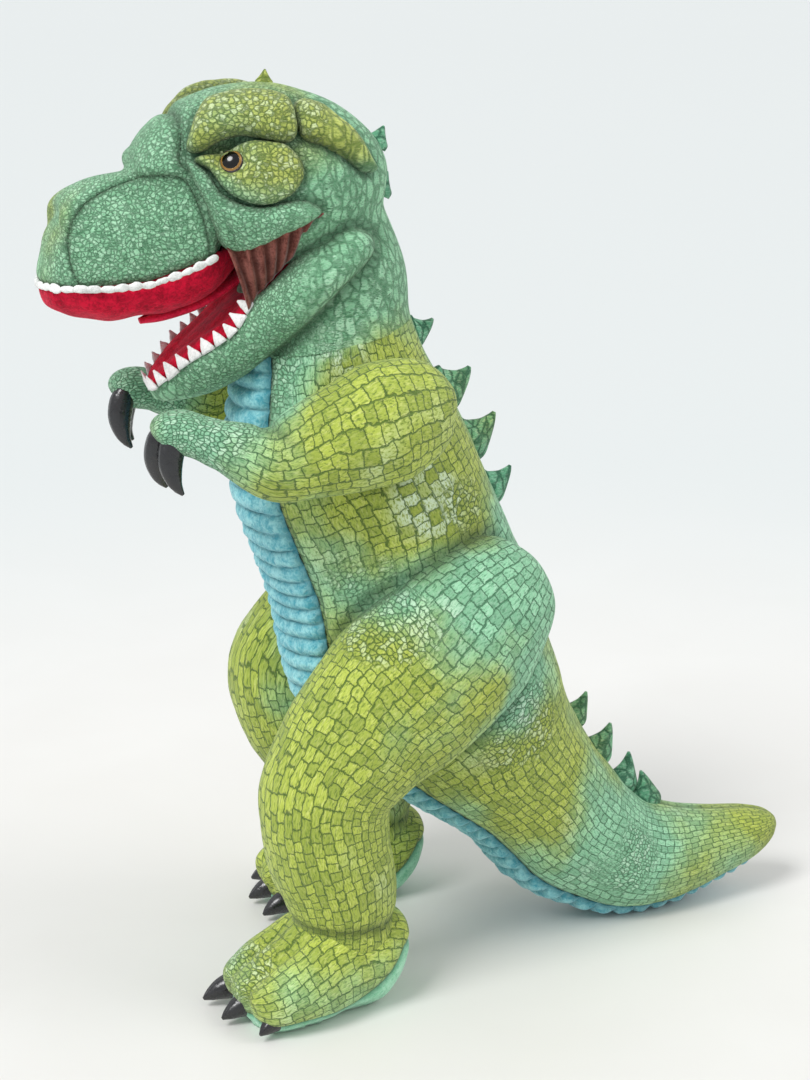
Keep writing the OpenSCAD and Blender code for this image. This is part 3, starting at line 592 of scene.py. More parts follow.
def coated_cloth():
    """Black coated knit, stuffed tight: glossy with fine creases."""
    material, tree, shader = new_material("coated claw cloth", Roughness=0.24, Specular_IOR_Level=0.6,
                                          Coat_Weight=0.35, Coat_Roughness=0.12)
    obj = add(tree, "ShaderNodeTexCoord").outputs["Object"]
    creases = add(tree, "ShaderNodeTexNoise",
                  {"Vector": obj, "Scale": 160.0, "Detail": 4.0, "Distortion": 1.2}).outputs["Fac"]
    colour = blend_colours(tree, creases, linear("050506"), linear("1B1B20"))
    tree.links.new(colour, shader.inputs["Base Color"])
    tree.links.new(step_between(tree, creases, 0.3, 0.7, 0.2, 0.38), shader.inputs["Roughness"])
    bump = add(tree, "ShaderNodeBump", {"Height": creases, "Strength": 0.5, "Distance": 0.0012})
    tree.links.new(bump.outputs[0], shader.inputs["Normal"])
    return material


def moulded(name, code, rough, metallic=0.0, coat=0.0):
    """Moulded plastic with a faint orange peel and slight fading."""
    material, tree, shader = new_material(name, Roughness=rough, Metallic=metallic, Coat_Weight=coat,
                                          Coat_Roughness=0.03)
    obj = add(tree, "ShaderNodeTexCoord").outputs["Object"]
    peel = add(tree, "ShaderNodeTexNoise", {"Vector": obj, "Scale": 900.0, "Detail": 2.0}).outputs["Fac"]
    colour = blend_colours(tree, peel, linear(code), [c * 0.7 for c in linear(code)[:3]] + [1])
    tree.links.new(colour, shader.inputs["Base Color"])
    return material


PLUSH = scale_plush("printed scale plush", "B3C24E", "9AD6AC", ("46661C", "34704C"), tint=0.36,
                    cell=(6.2, 9.5))
FACE = scale_plush("printed face plush", "BCC862", "A2D8A8", ("4F6B22", "357048"), tint=0.08, cell=(7, 8),
                   small=3.6, crack=0.72, solid=True)
HEAD = scale_plush("printed head plush", "B4C76A", "96D2A6", ("4B6E28", "2F6C46"), tint=0.5, cell=(6.4, 8),
                   small=3.0, crack=0.62, foil=0.45, solid=True)
SPIKE = scale_plush("foil spike plush", "86B070", "6CB48C", ("2C5A2C", "246046"), tint=0.6, small=2.4,
                    foil=0.7, solid=True)
SOLE = pile_cloth("mint sole plush", "AEE4C4", "7CC49A", 0.4, tuft=1.8)
MINKY = pile_cloth("ribbed belly minky", "9FDCE0", "4FA3B4", 0.55, tuft=2.6, depth=0.0018, tint="D8F4FA")
CRIMSON = pile_cloth("crimson mouth plush", "E0123A", "9C0524", 0.35, tuft=2.0, tint="FF8AA0")
TONGUE = pile_cloth("tongue plush", "EE2A50", "B40F33", 0.35, tuft=1.7, tint="FFA0B4")
FLEECE = pile_cloth("white tooth fleece", "FBFBF9", "DADBD8", 0.5, tuft=1.6)
PLEAT = pile_cloth("pleated cheek velour", "935A50", "54261F", 0.3, tuft=1.2, depth=0.0006)
FILL = pile_cloth("polyester fibre fill", "F4F4F0", "D8D8D0", 0.3, tuft=6.0)
CLAW = coated_cloth()
WASHER = moulded("pressed washer plastic", "D9D8CE", 0.5)
PUPIL = moulded("black eye plastic", "010101", 0.12)
IRIS = moulded("painted amber ring", "A87A35", 0.3, metallic=0.35, coat=0.4)
RIM = moulded("dark eye rim", "1E140C", 0.22, coat=0.6)

# ---------------------------------------------------------------- trunk, belly and tail
tail_bend = ((0, 0.120, 0.045), (0, 0.165, 0.045))
trunk = stuffed(TRUNK, 144, 380)
bmesh.ops.bisect_plane(trunk, geom=whole(trunk), plane_co=NECK + NECK_AXIS, plane_no=NECK_AXIS,
                       clear_outer=True, dist=0.01)
legs = {side: stuffed(LEGS[side], 96, 170, seam=90 + 90 * side) for side in (LEFT, RIGHT)}
arms = {LEFT: stuffed(ARM, 80, 140, seam=180)}
for leg in legs.values():
    tuck(trunk, BVHTree.FromBMesh(leg), 2.5, 5)
tuck(trunk, BVHTree.FromBMesh(arms[LEFT]), 2.0, 5)
lumpy(trunk, 46, 1.6)
lumpy(trunk, 15, 0.5, 7)


def belly_field(vert):
    """How far inside the belly panel's edge a point of the trunk lies, in mm."""
    k, a = vert[layer(trunk, "k")], vert[layer(trunk, "a")]
    row = along(TRUNK, k)
    line = [(w, 0, 0, 0, 0) for w in BELLY]
    half = along(line, k)[0]
    size = max(row[3], 1)
    off = abs((a + 360) % 360 - 90)
    off = min(off, 360 - off)
    limit = math.degrees(math.asin(min(max(half / size, -0.3), 1)))
    return (limit - off) * math.radians(1) * size


value = cut_along(trunk, belly_field)
edge_points = [v.co.copy() for v in trunk.verts if value[v] == 0.0]
back_points = [on_skin(TRUNK, 1.8 + 11.4 * i / 400, -90) for i in range(401)]
sink(trunk, edge_points, 2.2, 4.0)
sink(trunk, back_points, 1.2, 2.5)
skin = keep_side(trunk, value, -1)
belly = keep_side(trunk, value, 1)
trunk.free()
piece("body_skin", skin, None, PLUSH, wall=1.6,
      nodes=("torso_skin_left", "torso_skin_right", "tail_skin_left", "tail_skin_right", "torso_stuffing",
             "tail_stuffing"),
      bend=("torso", "tail", *tail_bend))
# Distance between two sewn ribs of the belly.
RIB = 12.0
bmesh.ops.subdivide_edges(belly, edges=belly.edges[:], cuts=1, use_grid_fill=True)
belly.normal_update()
near_edge = tree_of(edge_points)
for v in belly.verts:
    phase = (v[layer(belly, "s")] / RIB + 0.12 * noise.noise(v.co / 30)) % 1
    swing = math.sin(math.pi * phase) ** 0.5
    edge = min(near_edge.find(v.co)[2] / 8, 1)
    v.co += v.normal * (4.6 * (swing - 0.6) * (0.3 + 0.7 * edge) + 1.5 * edge + 0.8 * noise.noise(v.co / 6))
    # Painted shade: the grooves between ribs are darkened through the deep layer.
    v[shade_layer(belly)] = max(v[shade_layer(belly)], (1 - swing) ** 1.3)
belly.normal_update()
piece("belly_ribs", belly, None, MINKY, wall=1.2, nodes=("belly_panel",),
      bend=("torso", "tail", *tail_bend))

# ---------------------------------------------------------------- legs and feet
body_tree = BVHTree.FromBMesh(stuffed(TRUNK, 72, 120))


def ankle_ring(side):
    at, _ = FOOT_AT[side]
    return [Vector((at.x + 38 * math.cos(i / 20), at.y + 38 * math.sin(i / 20), 64)) for i in range(126)]


for side, word in SIDES:
    leg = legs[side]
    tuck(leg, body_tree, 3.0, 6)
    lumpy(leg, 38, 1.8, 3 * side)
    lumpy(leg, 12, 0.45, 9)
    sink(leg, ankle_ring(side), 2.6, 5)
    piece(f"leg_{word}", leg, "torso", PLUSH,
          nodes=(f"leg_skin_{word}", f"leg_stuffing_{word}"))

    foot = stuffed(FOOT, 96, 90, seam=-90, square=2.3)
    for v in foot.verts:
        # Toes bulge between two stitched lines, and the sole is flat on the floor.
        x, y, z = v.co
        for groove in (-13, 15):
            reach = share_of((-y - 26) / 22)
            v.co -= v.normal * 4.0 * reach * math.exp(-((x - groove) / 5) ** 2) * share_of(z / 20)
        if v.co.z < 2.4:
            v.co.z = 2.2 * max(v.co.z, -1) / 24 + 0.3
    foot.normal_update()

    def sole_field(vert):
        """Below the sole's edge, which rises round the heel."""
        y = vert.co.y
        rise = 10 + 34 * share_of((y + 8) / 42) ** 1.3
        return rise - vert.co.z

    value = cut_along(foot, sole_field)
    line = [v.co.copy() for v in foot.verts if value[v] == 0.0]
    lumpy(foot, 24, 1.2, 5)
    sink(foot, line, 1.6, 2.6)
    for v in foot.verts:
        v.co.z = max(v.co.z, 0.05)
    at, turn = FOOT_AT[side]
    spot = Matrix.Translation(at) @ Matrix.Rotation(turn, 4, "Z")
    for sign, label, cloth, slot, stands in (
        (-1, f"foot_{word}", PLUSH, "scale_plush", (f"foot_upper_{word}", f"foot_stuffing_{word}")),
        (1, f"sole_{word}", SOLE, "sole_plush", (f"foot_sole_{word}",)),
    ):
        part = keep_side(foot, value, sign)
        bmesh.ops.transform(part, matrix=spot, verts=part.verts)
        piece(label, part, "torso", cloth, nodes=stands, wall=1.4)
    foot.free()
    for number, (x, y, turn_toe) in enumerate(TOES):
        claw = stuffed(TOE_CLAW, 28, 40)
        # A sewn seam runs over the top of each claw.
        sink(claw, [on_skin(TOE_CLAW, 3.3 * i / 80, 90) for i in range(81)], 0.6, 1.0, 0.0)
        turned = Matrix.Rotation(math.radians(turn_toe * side), 4, "Z")
        move = spot @ Matrix.Translation((x * side, y, 0)) @ turned
        bmesh.ops.transform(claw, matrix=move, verts=claw.verts)
        piece(f"toe_claw_{word}_{number + 1}", claw, "torso", CLAW,
              nodes=(f"toe_claws_{word}",))

# ---------------------------------------------------------------- arms
for side, word in SIDES:
    arm = stuffed(ARM, 80, 140, seam=180)
    tuck(arm, body_tree, 3.0, 6)
    lumpy(arm, 30, 1.5, 4)
    lumpy(arm, 10, 0.4, 2)
    sink(arm, path_through([SHOULDER + Vector(p) for p in ELBOW]), 2.2, 4)
    if side == RIGHT:
        bmesh.ops.scale(arm, vec=(-1, 1, 1), verts=arm.verts)
        bmesh.ops.recalc_face_normals(arm, faces=arm.faces)
    piece(f"arm_{word}", arm, f"{word}_arm", PLUSH,
          nodes=(f"arm_skin_{word}", f"arm_stuffing_{word}"))
    for number, dx in enumerate((-7, 7)):
        at = SHOULDER + Vector((10 + dx, -(150 - dx * 0.4), -8))
        lean = 0.5 * dx
        rows = [(0, 0, 4, 5, 6), (0, -3, -4, 7, 8.5), (lean * 0.4, -5, -16, 6.6, 8), (lean, -3, -28, 4.4, 5),
                (lean * 1.3, 2, -36, 1.2, 1.2)]
        claw = stuffed(shifted(at, rows), 28, 60)
        sink(claw, [on_skin(shifted(at, rows), 3.3 * i / 100, 90) for i in range(101)], 0.6, 0.9, 0.0)
        if side == RIGHT:
            bmesh.ops.scale(claw, vec=(-1, 1, 1), verts=claw.verts)
            bmesh.ops.recalc_face_normals(claw, faces=claw.faces)
        piece(f"finger_claw_{word}_{number + 1}", claw, f"{word}_arm", CLAW,
              nodes=(f"finger_claws_{word}",))

# ---------------------------------------------------------------- head and neck
LIP = [(90, 60), (-20, 22), (-42, 15), (-62, 6), (-88, -5), (-113, -13), (-137, -15), (-300, -17)]
SNOUT_SIDE = rounded([(-74, 2), (-82, 36), (-92, 52), (-112, 52), (-134, 46), (-153, 35), (-163, 18),
                      (-162, -4), (-148, -22), (-112, -22), (-80, -12)])
HEAD_PATH = [Vector(p) for p in ((0, -80, 430), (0, -84, 505), (0, -92, 540), (0, -118, 556), (0, -152, 548),
                                 (0, -190, 524), (0, -280, 512))]


def cloth_map(bm, path, girth):
    """Lays the cloth map along a bent path: v runs along it, u round it."""
    lengths = [0.0]
    for a, b in zip(path, path[1:]):
        lengths.append(lengths[-1] + (b - a).length)

    def find(p):
        best = None
        for i, (a, b) in enumerate(zip(path, path[1:])):
            q, t = intersect_point_line(p, a, b)
            t = share_of(t)
            q = a + (b - a) * t
            d = (p - q).length
            if best is None or d < best[0]:
                up = (b - a).normalized().cross(ACROSS)
                best = (d, lengths[i] + (b - a).length * t, math.atan2((p - q).x, -(p - q).dot(up)))
        return best[1], best[2]

    uv = bm.loops.layers.uv.get("cloth") or bm.loops.layers.uv.new("cloth")
    spots = {v: find(v.co) for v in bm.verts}
    for face in bm.faces:
        first = spots[face.verts[0]][1]
        for loop in face.loops:
            s, turn = spots[loop.vert]
            if turn - first > math.pi:
                turn -= 2 * math.pi
            elif first - turn > math.pi:
                turn += 2 * math.pi
            loop[uv].uv = (turn * girth / (2 * math.pi), s)


def merged(forms, voxel):
    """One closed skin round several forms."""
    both = bmesh.new()
    for bm in forms:
        mesh = bpy.data.meshes.new("scratch")
        bm.to_mesh(mesh)
        both.from_mesh(mesh)
        bpy.data.meshes.remove(mesh)
    bmesh.ops.scale(both, vec=(MM, MM, MM), verts=both.verts)
    mesh = bpy.data.meshes.new("scratch")
    both.to_mesh(mesh)
    both.free()
    ob = bpy.data.objects.new("scratch", mesh)
    bpy.context.collection.objects.link(ob)
    remesh = ob.modifiers.new("skin", "REMESH")
    remesh.mode = "VOXEL"
    remesh.voxel_size = voxel * MM
    result = bmesh.new()
    result.from_object(ob, bpy.context.evaluated_depsgraph_get())
    bpy.data.objects.remove(ob)
    bpy.data.meshes.remove(mesh)
    bmesh.ops.scale(result, vec=(1 / MM, 1 / MM, 1 / MM), verts=result.verts)
    result.normal_update()
    return result


neck_part = stuffed(TRUNK, 96, 260)
bmesh.ops.bisect_plane(neck_part, geom=whole(neck_part), plane_co=NECK - NECK_AXIS * 14, plane_no=NECK_AXIS,
                       clear_inner=True, dist=0.01)
bmesh.ops.holes_fill(neck_part, edges=[e for e in neck_part.edges if e.is_boundary])
skull_part = stuffed(SKULL, 96, 120, square=2.2)
skull_tree = BVHTree.FromBMesh(skull_part)
neck_tree = BVHTree.FromBMesh(neck_part)
head = merged((neck_part, skull_part), 1.9)
bmesh.ops.bisect_plane(head, geom=whole(head), plane_co=NECK, plane_no=NECK_AXIS, clear_inner=True,
                       dist=0.01)


def relax(bm, verts):
    bmesh.ops.smooth_vert(bm, verts=verts, factor=0.5, use_axis_x=True, use_axis_y=True, use_axis_z=True)


for turn in range(30):
    near = [v for v in head.verts if v.co.y > HINGE.y - 20 and abs((v.co - NECK).dot(NECK_AXIS)) > 8]
    relax(head, [v for v in near if skull_tree.find_nearest(v.co, 12)[0] is not None
                 and neck_tree.find_nearest(v.co, 12)[0] is not None])
for turn in range(3):
    relax(head, [v for v in head.verts if (v.co - NECK).dot(NECK_AXIS) > 3])
head.normal_update()
# Centre of the left eye, and the way that it looks.
EYE = Vector((46, -155.5, 575))
EYE_AIM = Vector((0.765, -0.441, 0.469)).normalized()


def socket(bm, depth, width):
    """Hollow round each eye."""
    for v in bm.verts:
        p = Vector((abs(v.co.x), v.co.y, v.co.z)) - EYE
        off = (p - EYE_AIM * p.dot(EYE_AIM)).length
        if off < 3 * width and p.dot(EYE_AIM) > -20:
            v.co -= v.normal * depth * math.exp(-((off / width) ** 2))
    bm.normal_update()


# Outlines of the padded face panels, about the jaw hinge: y, z.
BROW = [
    (-88, 72), (-76, 93), (-61, 101), (-40, 103), (-20, 97), (-19, 78), (-30, 75), (-51, 79), (-67, 75),
    (-80, 69),
]
EYE_PATCH = [
    (-84, 65), (-67, 73), (-51, 77), (-25, 72), (-16, 55), (-26, 41), (-45, 36), (-64, 43), (-77, 58),
]
CHEEK = [
    (-89, 63), (-78, 58), (-66, 41), (-46, 34), (-26, 38), (-13, 37), (-5, 29), (-32, 15), (-62, 5),
    (-79, 38),
]
TEMPLE = [(-16, 78), (-17, 96), (-2, 96), (12, 87), (24, 75), (37, 54), (28, 52), (14, 63), (-3, 72)]


def lining_reach(k):
    """How far round from the top the crimson lining goes, in degrees: narrow under the cheek pleats."""
    return (38 + 24 * share_of(k - 3.2)) * share_of((k - 1.5) / 0.6)


jaw_form = BVHTree.FromBMesh(stuffed(JAW, 72, 90, square=2.2))
plain_head = head.copy()
shade_layer(head)
tuck(head, jaw_form, 2.0, 5)
for outline in (BROW, EYE_PATCH, CHEEK, TEMPLE):
    shape = rounded(outline)
    for v in head.verts:
        y, z = v.co.y - HINGE.y, v.co.z - HINGE.z
        if abs(v.co.x) > 20 and z > 5 and -110 < y < 50:
            share = math.exp(-((inside(shape, y, z) / 4.5) ** 2)) * min((abs(v.co.x) - 20) / 8, 1)
            v.co -= v.normal * 2.2 * share
            # Painted shade: the hollows round each panel outline are darkened through the deep layer.
            v[shade_layer(head)] = max(v[shade_layer(head)], share)
socket(head, 10.0, 13)
lumpy(head, 32, 1.3, 11)
for v in head.verts:
    y, z = v.co.y - HINGE.y, v.co.z - HINGE.z
    if y < -56 and abs(v.co.x) > 16:
        d = inside(SNOUT_SIDE, y, z)
        side_on = share_of((abs(v.co.x) - 16) / 12)
        if d > 0:
            v.co -= v.normal * 4.5 * side_on * (1 - math.exp(-((d / 4) ** 2)))
        else:
            rim = math.exp(-(((d + 7) / 6) ** 2)) * min(max((z - 2) / 14, 0.15), 1)
            v.co += v.normal * 5.0 * side_on * rim
head.normal_update()


def hinge_yz(vert):
    return vert.co.y - HINGE.y, vert.co.z - HINGE.z


def behind_snout(vert):
    """How far behind the seam that slants from the forehead to the lip a point lies."""
    y, z = hinge_yz(vert)
    return y + 90 - 27 * share_of((62 - z) / 60)


def mouth_field(vert):
    """Inside the lined upper mouth: below the lip line and in front of the throat."""
    y, z = hinge_yz(vert)
    return min(beyond(LIP, y, z), -36 - y, z + 26 + max(0, -64 - y) * 1.2)


value = cut_along(head, mouth_field)
lip_points = [v.co.copy() for v in head.verts if value[v] == 0.0 and v.co.y < HINGE.y - 26]
sink(head, lip_points, 1.6, 3.0)
cloth_map(head, HEAD_PATH, 340)
mouth = keep_side(head, value, 1)
upper = keep_side(head, value, -1)
head.free()
value = cut_along(upper, behind_snout)
crease = [v.co.copy() for v in upper.verts if value[v] == 0.0]
sink(upper, crease, 4.5, 5.0)
snout = keep_side(upper, value, -1)
rear = keep_side(upper, value, 1)
upper.free()
neck_bend = ((0, -0.080, 0.460), (0, -0.090, 0.500))
piece("head_skin", rear, None, HEAD, wall=1.6,
      nodes=("head_skin_left", "head_skin_right", "head_stuffing"),
      bend=("torso", "head", *neck_bend))


def snout_side_field(v):
    y, z = hinge_yz(v)
    return inside(SNOUT_SIDE, y, z) if abs(v.co.x) > 12 else -9.0


value = cut_along(snout, snout_side_field)
line = [v.co.copy() for v in snout.verts if value[v] == 0.0]
sink(snout, line, 1.8, 2.4)
sides_part = keep_side(snout, value, 1)
shell = keep_side(snout, value, -1)
snout.free()
piece("snout", shell, "head", HEAD, wall=1.6, nodes=("snout_skin",))


def keep_half(bm, side, inner):
    """Deletes the faces that lie nearer the middle than inner, or on the other side."""
    gone = [f for f in bm.faces if f.calc_center_median().x * side < inner]
    bmesh.ops.delete(bm, geom=gone, context="FACES")


for side, word in SIDES:
    part = sides_part.copy()
    keep_half(part, side, 0)
    piece(f"snout_panel_{word}", part, "head", HEAD, wall=1.4, nodes=(f"snout_side_{word}",))
sides_part.free()
for v in mouth.verts:
    v.co += v.normal * 1.2 * noise.noise(v.co / 16)
    v.co.x *= 1 - 0.24 * share_of((v.co.y - HINGE.y + 74) / 24)
piece("palate_pad", mouth, "head", CRIMSON, wall=1.6, nodes=("palate",))

# ---------------------------------------------------------------- padded face panels
# Name, outline, height, width of the rolled edge, slot and cloth.
PANELS = [
    ("brow", BROW, 15.0, 12, "face_plush", FACE),
    ("eye_patch", EYE_PATCH, 6.5, 7, "face_plush", FACE),
    ("cheek_panel", CHEEK, 9.0, 8, "scale_plush", HEAD),
    ("temple_roll", TEMPLE, 12.0, 12, "scale_plush", FACE),
]
cloth_map(plain_head, HEAD_PATH, 340)
for side, word in SIDES:
    for label, outline, height, roll, slot, cloth in PANELS:
        part = plain_head.copy()
        keep_half(part, side, 18)
        shape = rounded(outline)
        value = cut_along(part, lambda v: inside(shape, *hinge_yz(v)))
        panel = keep_side(part, value, 1)
        part.free()
        shade_layer(panel)
        bmesh.ops.subdivide_edges(panel, edges=panel.edges[:], cuts=1, use_grid_fill=True)
        panel.normal_update()
        for v in panel.verts:
            d = max(inside(shape, *hinge_yz(v)), 0)
            full = min(d / roll, 1)
            v.co += v.normal * (height * math.sqrt(1 - (1 - full) ** 2) - 1.8)
            # Painted shade: the rolled edge of each panel, near its seam, is darkened through the deep
            # layer.
            v[shade_layer(panel)] = max(1 - d / 3.2, 0)
        panel.normal_update()
        if label == "eye_patch":
            socket(panel, 9.5, 11)
        elif label == "brow":
            socket(panel, 7.0, 9)
        lumpy(panel, 12, 0.8, 6)
        piece(f"padded_{label}_{word}", panel, "head", cloth, wall=1.2, nodes=(f"{label}_{word}",))
plain_head.free()

# ---------------------------------------------------------------- eyes
def spun(profile, steps=64):
    """Turned form about z from [radius, height] points."""
    bm = bmesh.new()
    verts = [bm.verts.new((r, 0, z)) for r, z in profile]
    edges = [bm.edges.new(pair) for pair in zip(verts, verts[1:])]
    bmesh.ops.spin(bm, geom=verts + edges, cent=(0, 0, 0), axis=(0, 0, 1), angle=2 * math.pi, steps=steps,
                   use_merge=True)
    bmesh.ops.remove_doubles(bm, verts=bm.verts, dist=0.005)
    bmesh.ops.recalc_face_normals(bm, faces=bm.faces)
    return bm


def dome(radius, height, base, inner=0.0, n=14):
    """Profile of a dome slice between an inner and an outer radius, closed underneath."""
    def z(r):
        return base + height * math.sqrt(max(1 - (r / 8.5) ** 2, 0))
    rs = [inner + (radius - inner) * i / n for i in range(n + 1)]
    rows = [(r, z(r)) for r in rs]
    return rows + [(radius, z(radius) - 1.2), (inner, z(inner) - 1.2)] + ([rows[0]] if inner else [])


for side, word in SIDES:
    aim = (Matrix.Translation((EYE.x, EYE.y, EYE.z)) @ Matrix.Rotation(math.radians(-30), 4, "Z")
           @ Matrix.Rotation(math.radians(62), 4, "Y"))
    layers = [("pupil", PUPIL, dome(5.7, 5.0, -0.6)), ("iris", IRIS, dome(7.0, 5.0, -0.6, 5.7)),
              ("rim", RIM, dome(8.5, 5.0, -0.4, 7.0))]
    for label, finish, profile in layers:
        part = spun(profile)
        bmesh.ops.transform(part, matrix=aim, verts=part.verts)
        if side == RIGHT:
            bmesh.ops.scale(part, vec=(-1, 1, 1), verts=part.verts)
            bmesh.ops.recalc_face_normals(part, faces=part.faces)
        bmesh.ops.translate(part, vec=(5.0 * side, -2.2, 1.8), verts=part.verts)
        piece(f"eye_{label}_{word}", part, "head", finish, nodes=(f"eye_{word}",))

# ---------------------------------------------------------------- jaw
jaw = stuffed(JAW, 96, 120, square=2.2)
tuck(jaw, neck_tree, 1.5, 5)
lumpy(jaw, 26, 1.2, 13)


def lining_field(v):
    """Inside the lower lip: the upper part of each ring."""
    a = (v[layer(jaw, "a")] + 360) % 360
    k = v[layer(jaw, "k")]
    size = along(JAW, k)[3]
    off = abs(a - 90) if a < 270 else 450 - a
    return (lining_reach(k) - off) * math.radians(1) * size


value = cut_along(jaw, lining_field)
low_lip = [v.co.copy() for v in jaw.verts if value[v] == 0.0]
sink(jaw, low_lip, 1.4, 2.4)
lining = keep_side(jaw, value, 1)
jaw_out = keep_side(jaw, value, -1)
lip_tree = tree_of(low_lip)
jaw.free()
for v in lining.verts:
    d = lip_tree.find(v.co)[2]
    v.co -= v.normal * 7.0 * min(d / 22, 1) ** 1.5
lining.normal_update()
piece("jaw_cloth", jaw_out, "jaw", HEAD, wall=1.6,
      nodes=("jaw_skin", "jaw_stuffing"))
piece("jaw_bed", lining, "jaw", CRIMSON, wall=1.4, nodes=("jaw_lining",))

# ---------------------------------------------------------------- teeth
def upper_lip_points():
    """Points and outward directions on the upper lip, from one corner of the mouth round to the other."""
    rows = []
    for i in range(241):
        turn = i / 240
        y = -66 - 110 * math.sin(math.pi * turn)
        height = next(a[1] + (b[1] - a[1]) * (y - a[0]) / (b[0] - a[0])
                      for a, b in zip(LIP, LIP[1:]) if b[0] <= y <= a[0])
        spread = math.cos(math.pi * turn)
        start = Vector((spread * 120, HINGE.y + y - 60 * (1 - abs(spread)), HINGE.z + height))
        goal = Vector((spread * 12, HINGE.y + y + 30 * (1 - abs(spread)), HINGE.z + height))
        hit = skull_tree.ray_cast(start, (goal - start).normalized())
        if hit[0] is not None:
            rows.append((hit[0], hit[1]))
    return rows


def resampled(rows, step):
    """Rows of (point, normal) at even spacing."""
    run = [0.0]
    for (p, _), (q, _) in zip(rows, rows[1:]):
        run.append(run[-1] + (q - p).length)
    out = []
    n = int(run[-1] / step)
    for i in range(n + 1):
        s = run[-1] * i / n
        j = min(max(bisect.bisect_right(run, s) - 1, 0), len(rows) - 2)
        t = (s - run[j]) / max(run[j + 1] - run[j], 1e-6)
        out.append((rows[j][0].lerp(rows[j + 1][0], t), rows[j][1].lerp(rows[j + 1][1], t).normalized()))
    return out


def joined(parts):
    both = bmesh.new()
    for bm in parts:
        mesh = bpy.data.meshes.new("scratch")
        bm.to_mesh(mesh)
        bm.free()
        both.from_mesh(mesh)
        bpy.data.meshes.remove(mesh)
    return both


upper_row = resampled(upper_lip_points(), 8.6)
scallops = []
for i in range(1, len(upper_row) - 1):
    p, n = upper_row[i]
    ahead = (upper_row[i + 1][0] - upper_row[i - 1][0]).normalized()
    down = ahead.cross(n).normalized()
    down = -down if down.z > 0 else down
    n = down.cross(ahead).normalized() * (1 if down.cross(ahead).dot(n) > 0 else -1)
    tooth = bmesh.new()
    bmesh.ops.create_uvsphere(tooth, u_segments=14, v_segments=10, radius=1.0)
    for v in tooth.verts:
        v.co.y *= 1 - 0.35 * max(v.co.y, 0)
    turn = Matrix((ahead, down, n)).transposed().to_4x4()
    uneven = 1 + 0.3 * noise.noise(p / 9)
    size = Matrix.Diagonal((5.3, 3.3 * uneven, 1.7, 1))
    move = Matrix.Translation(p + down * 1.2 + n * 0.6) @ turn @ size
    bmesh.ops.transform(tooth, matrix=move, verts=tooth.verts)
    lumpy(tooth, 3.5, 0.8, 5)
    scallops.append(tooth)
piece("upper_teeth_strip", joined(scallops), "head", FLEECE, nodes=("upper_teeth",))

lower_rows = []
for side in (LEFT, RIGHT):
    ks = [3.5 + 3.35 * i / 60 for i in range(61)]
    rows = [on_skin(JAW, k, 90 - lining_reach(k) * side, 0.6, 2.2) for k in ks]
    lower_rows += rows if side == LEFT else rows[::-1]
pairs = []
for i, p in enumerate(lower_rows):
    centre = Vector((0, p.y + 8, p.z + 6))
    pairs.append((p, (p - centre).normalized()))
spikes = []
lower_row = resampled(pairs, 9.6)
for i in range(len(lower_row)):
    p, n = lower_row[i]
    ahead = (lower_row[min(i + 1, len(lower_row) - 1)][0] - lower_row[max(i - 1, 0)][0]).normalized()
    rise = Vector((-0.25 * math.copysign(min(abs(p.x) / 20, 1), p.x), -0.45, 0.85))
    rise = (rise - ahead * rise.dot(ahead)).normalized()
    n = ahead.cross(rise).normalized()
    tooth = bmesh.new()
    bmesh.ops.create_cone(tooth, cap_ends=True, segments=12, radius1=1.0, radius2=0.12, depth=2.0)
    upright = [e for e in tooth.edges if abs(e.verts[0].co.z - e.verts[1].co.z) > 1]
    bmesh.ops.subdivide_edges(tooth, edges=upright, cuts=4, use_grid_fill=True)
    for v in tooth.verts:
        v.co.xy *= 1 + 0.18 * math.sin(math.pi * (v.co.z + 1) / 2)
    turn = Matrix((ahead, n, rise)).transposed().to_4x4()
    uneven = 1 + 0.22 * noise.noise(p / 7)
    size = Matrix.Diagonal((4.8 * uneven, 2.0, 5.2 * uneven, 1))
    bmesh.ops.transform(tooth, matrix=Matrix.Translation(p + rise * 3.0) @ turn @ size, verts=tooth.verts)
    lumpy(tooth, 4, 0.7, 3)
    spikes.append(tooth)
piece("lower_teeth_strip", joined(spikes), "jaw", FLEECE, nodes=("lower_teeth",))

# ---------------------------------------------------------------- tongue and cheek gussets
tongue_line = shifted(HINGE, [(0, -34, -6, 12, 2.5), (0, -52, -21, 17, 4), (0, -74, -33, 18, 4.5),
                              (0, -98, -41, 13, 4),
                              (0, -113, -45, 4, 2)])
tongue = stuffed(tongue_line, 56, 70)
sink(tongue, [on_skin(tongue_line, 0.4 + 3.2 * i / 90, 90) for i in range(91)], 1.6, 2.2)
sink(tongue, [on_skin(tongue_line, 0.4 + 3.2 * i / 90, -90) for i in range(91)], 1.2, 2.2)
piece("tongue_pad", tongue, "head", TONGUE, nodes=("tongue",))

def edge_on(tree, spot):
    """Where a point of the side view, given about the hinge, lies on a form."""
    hit = tree.ray_cast(Vector((120, HINGE.y + spot[0], HINGE.z + spot[1])), Vector((-1, 0, 0)))[0]
    return hit or Vector((54, HINGE.y + spot[0], HINGE.z + spot[1]))


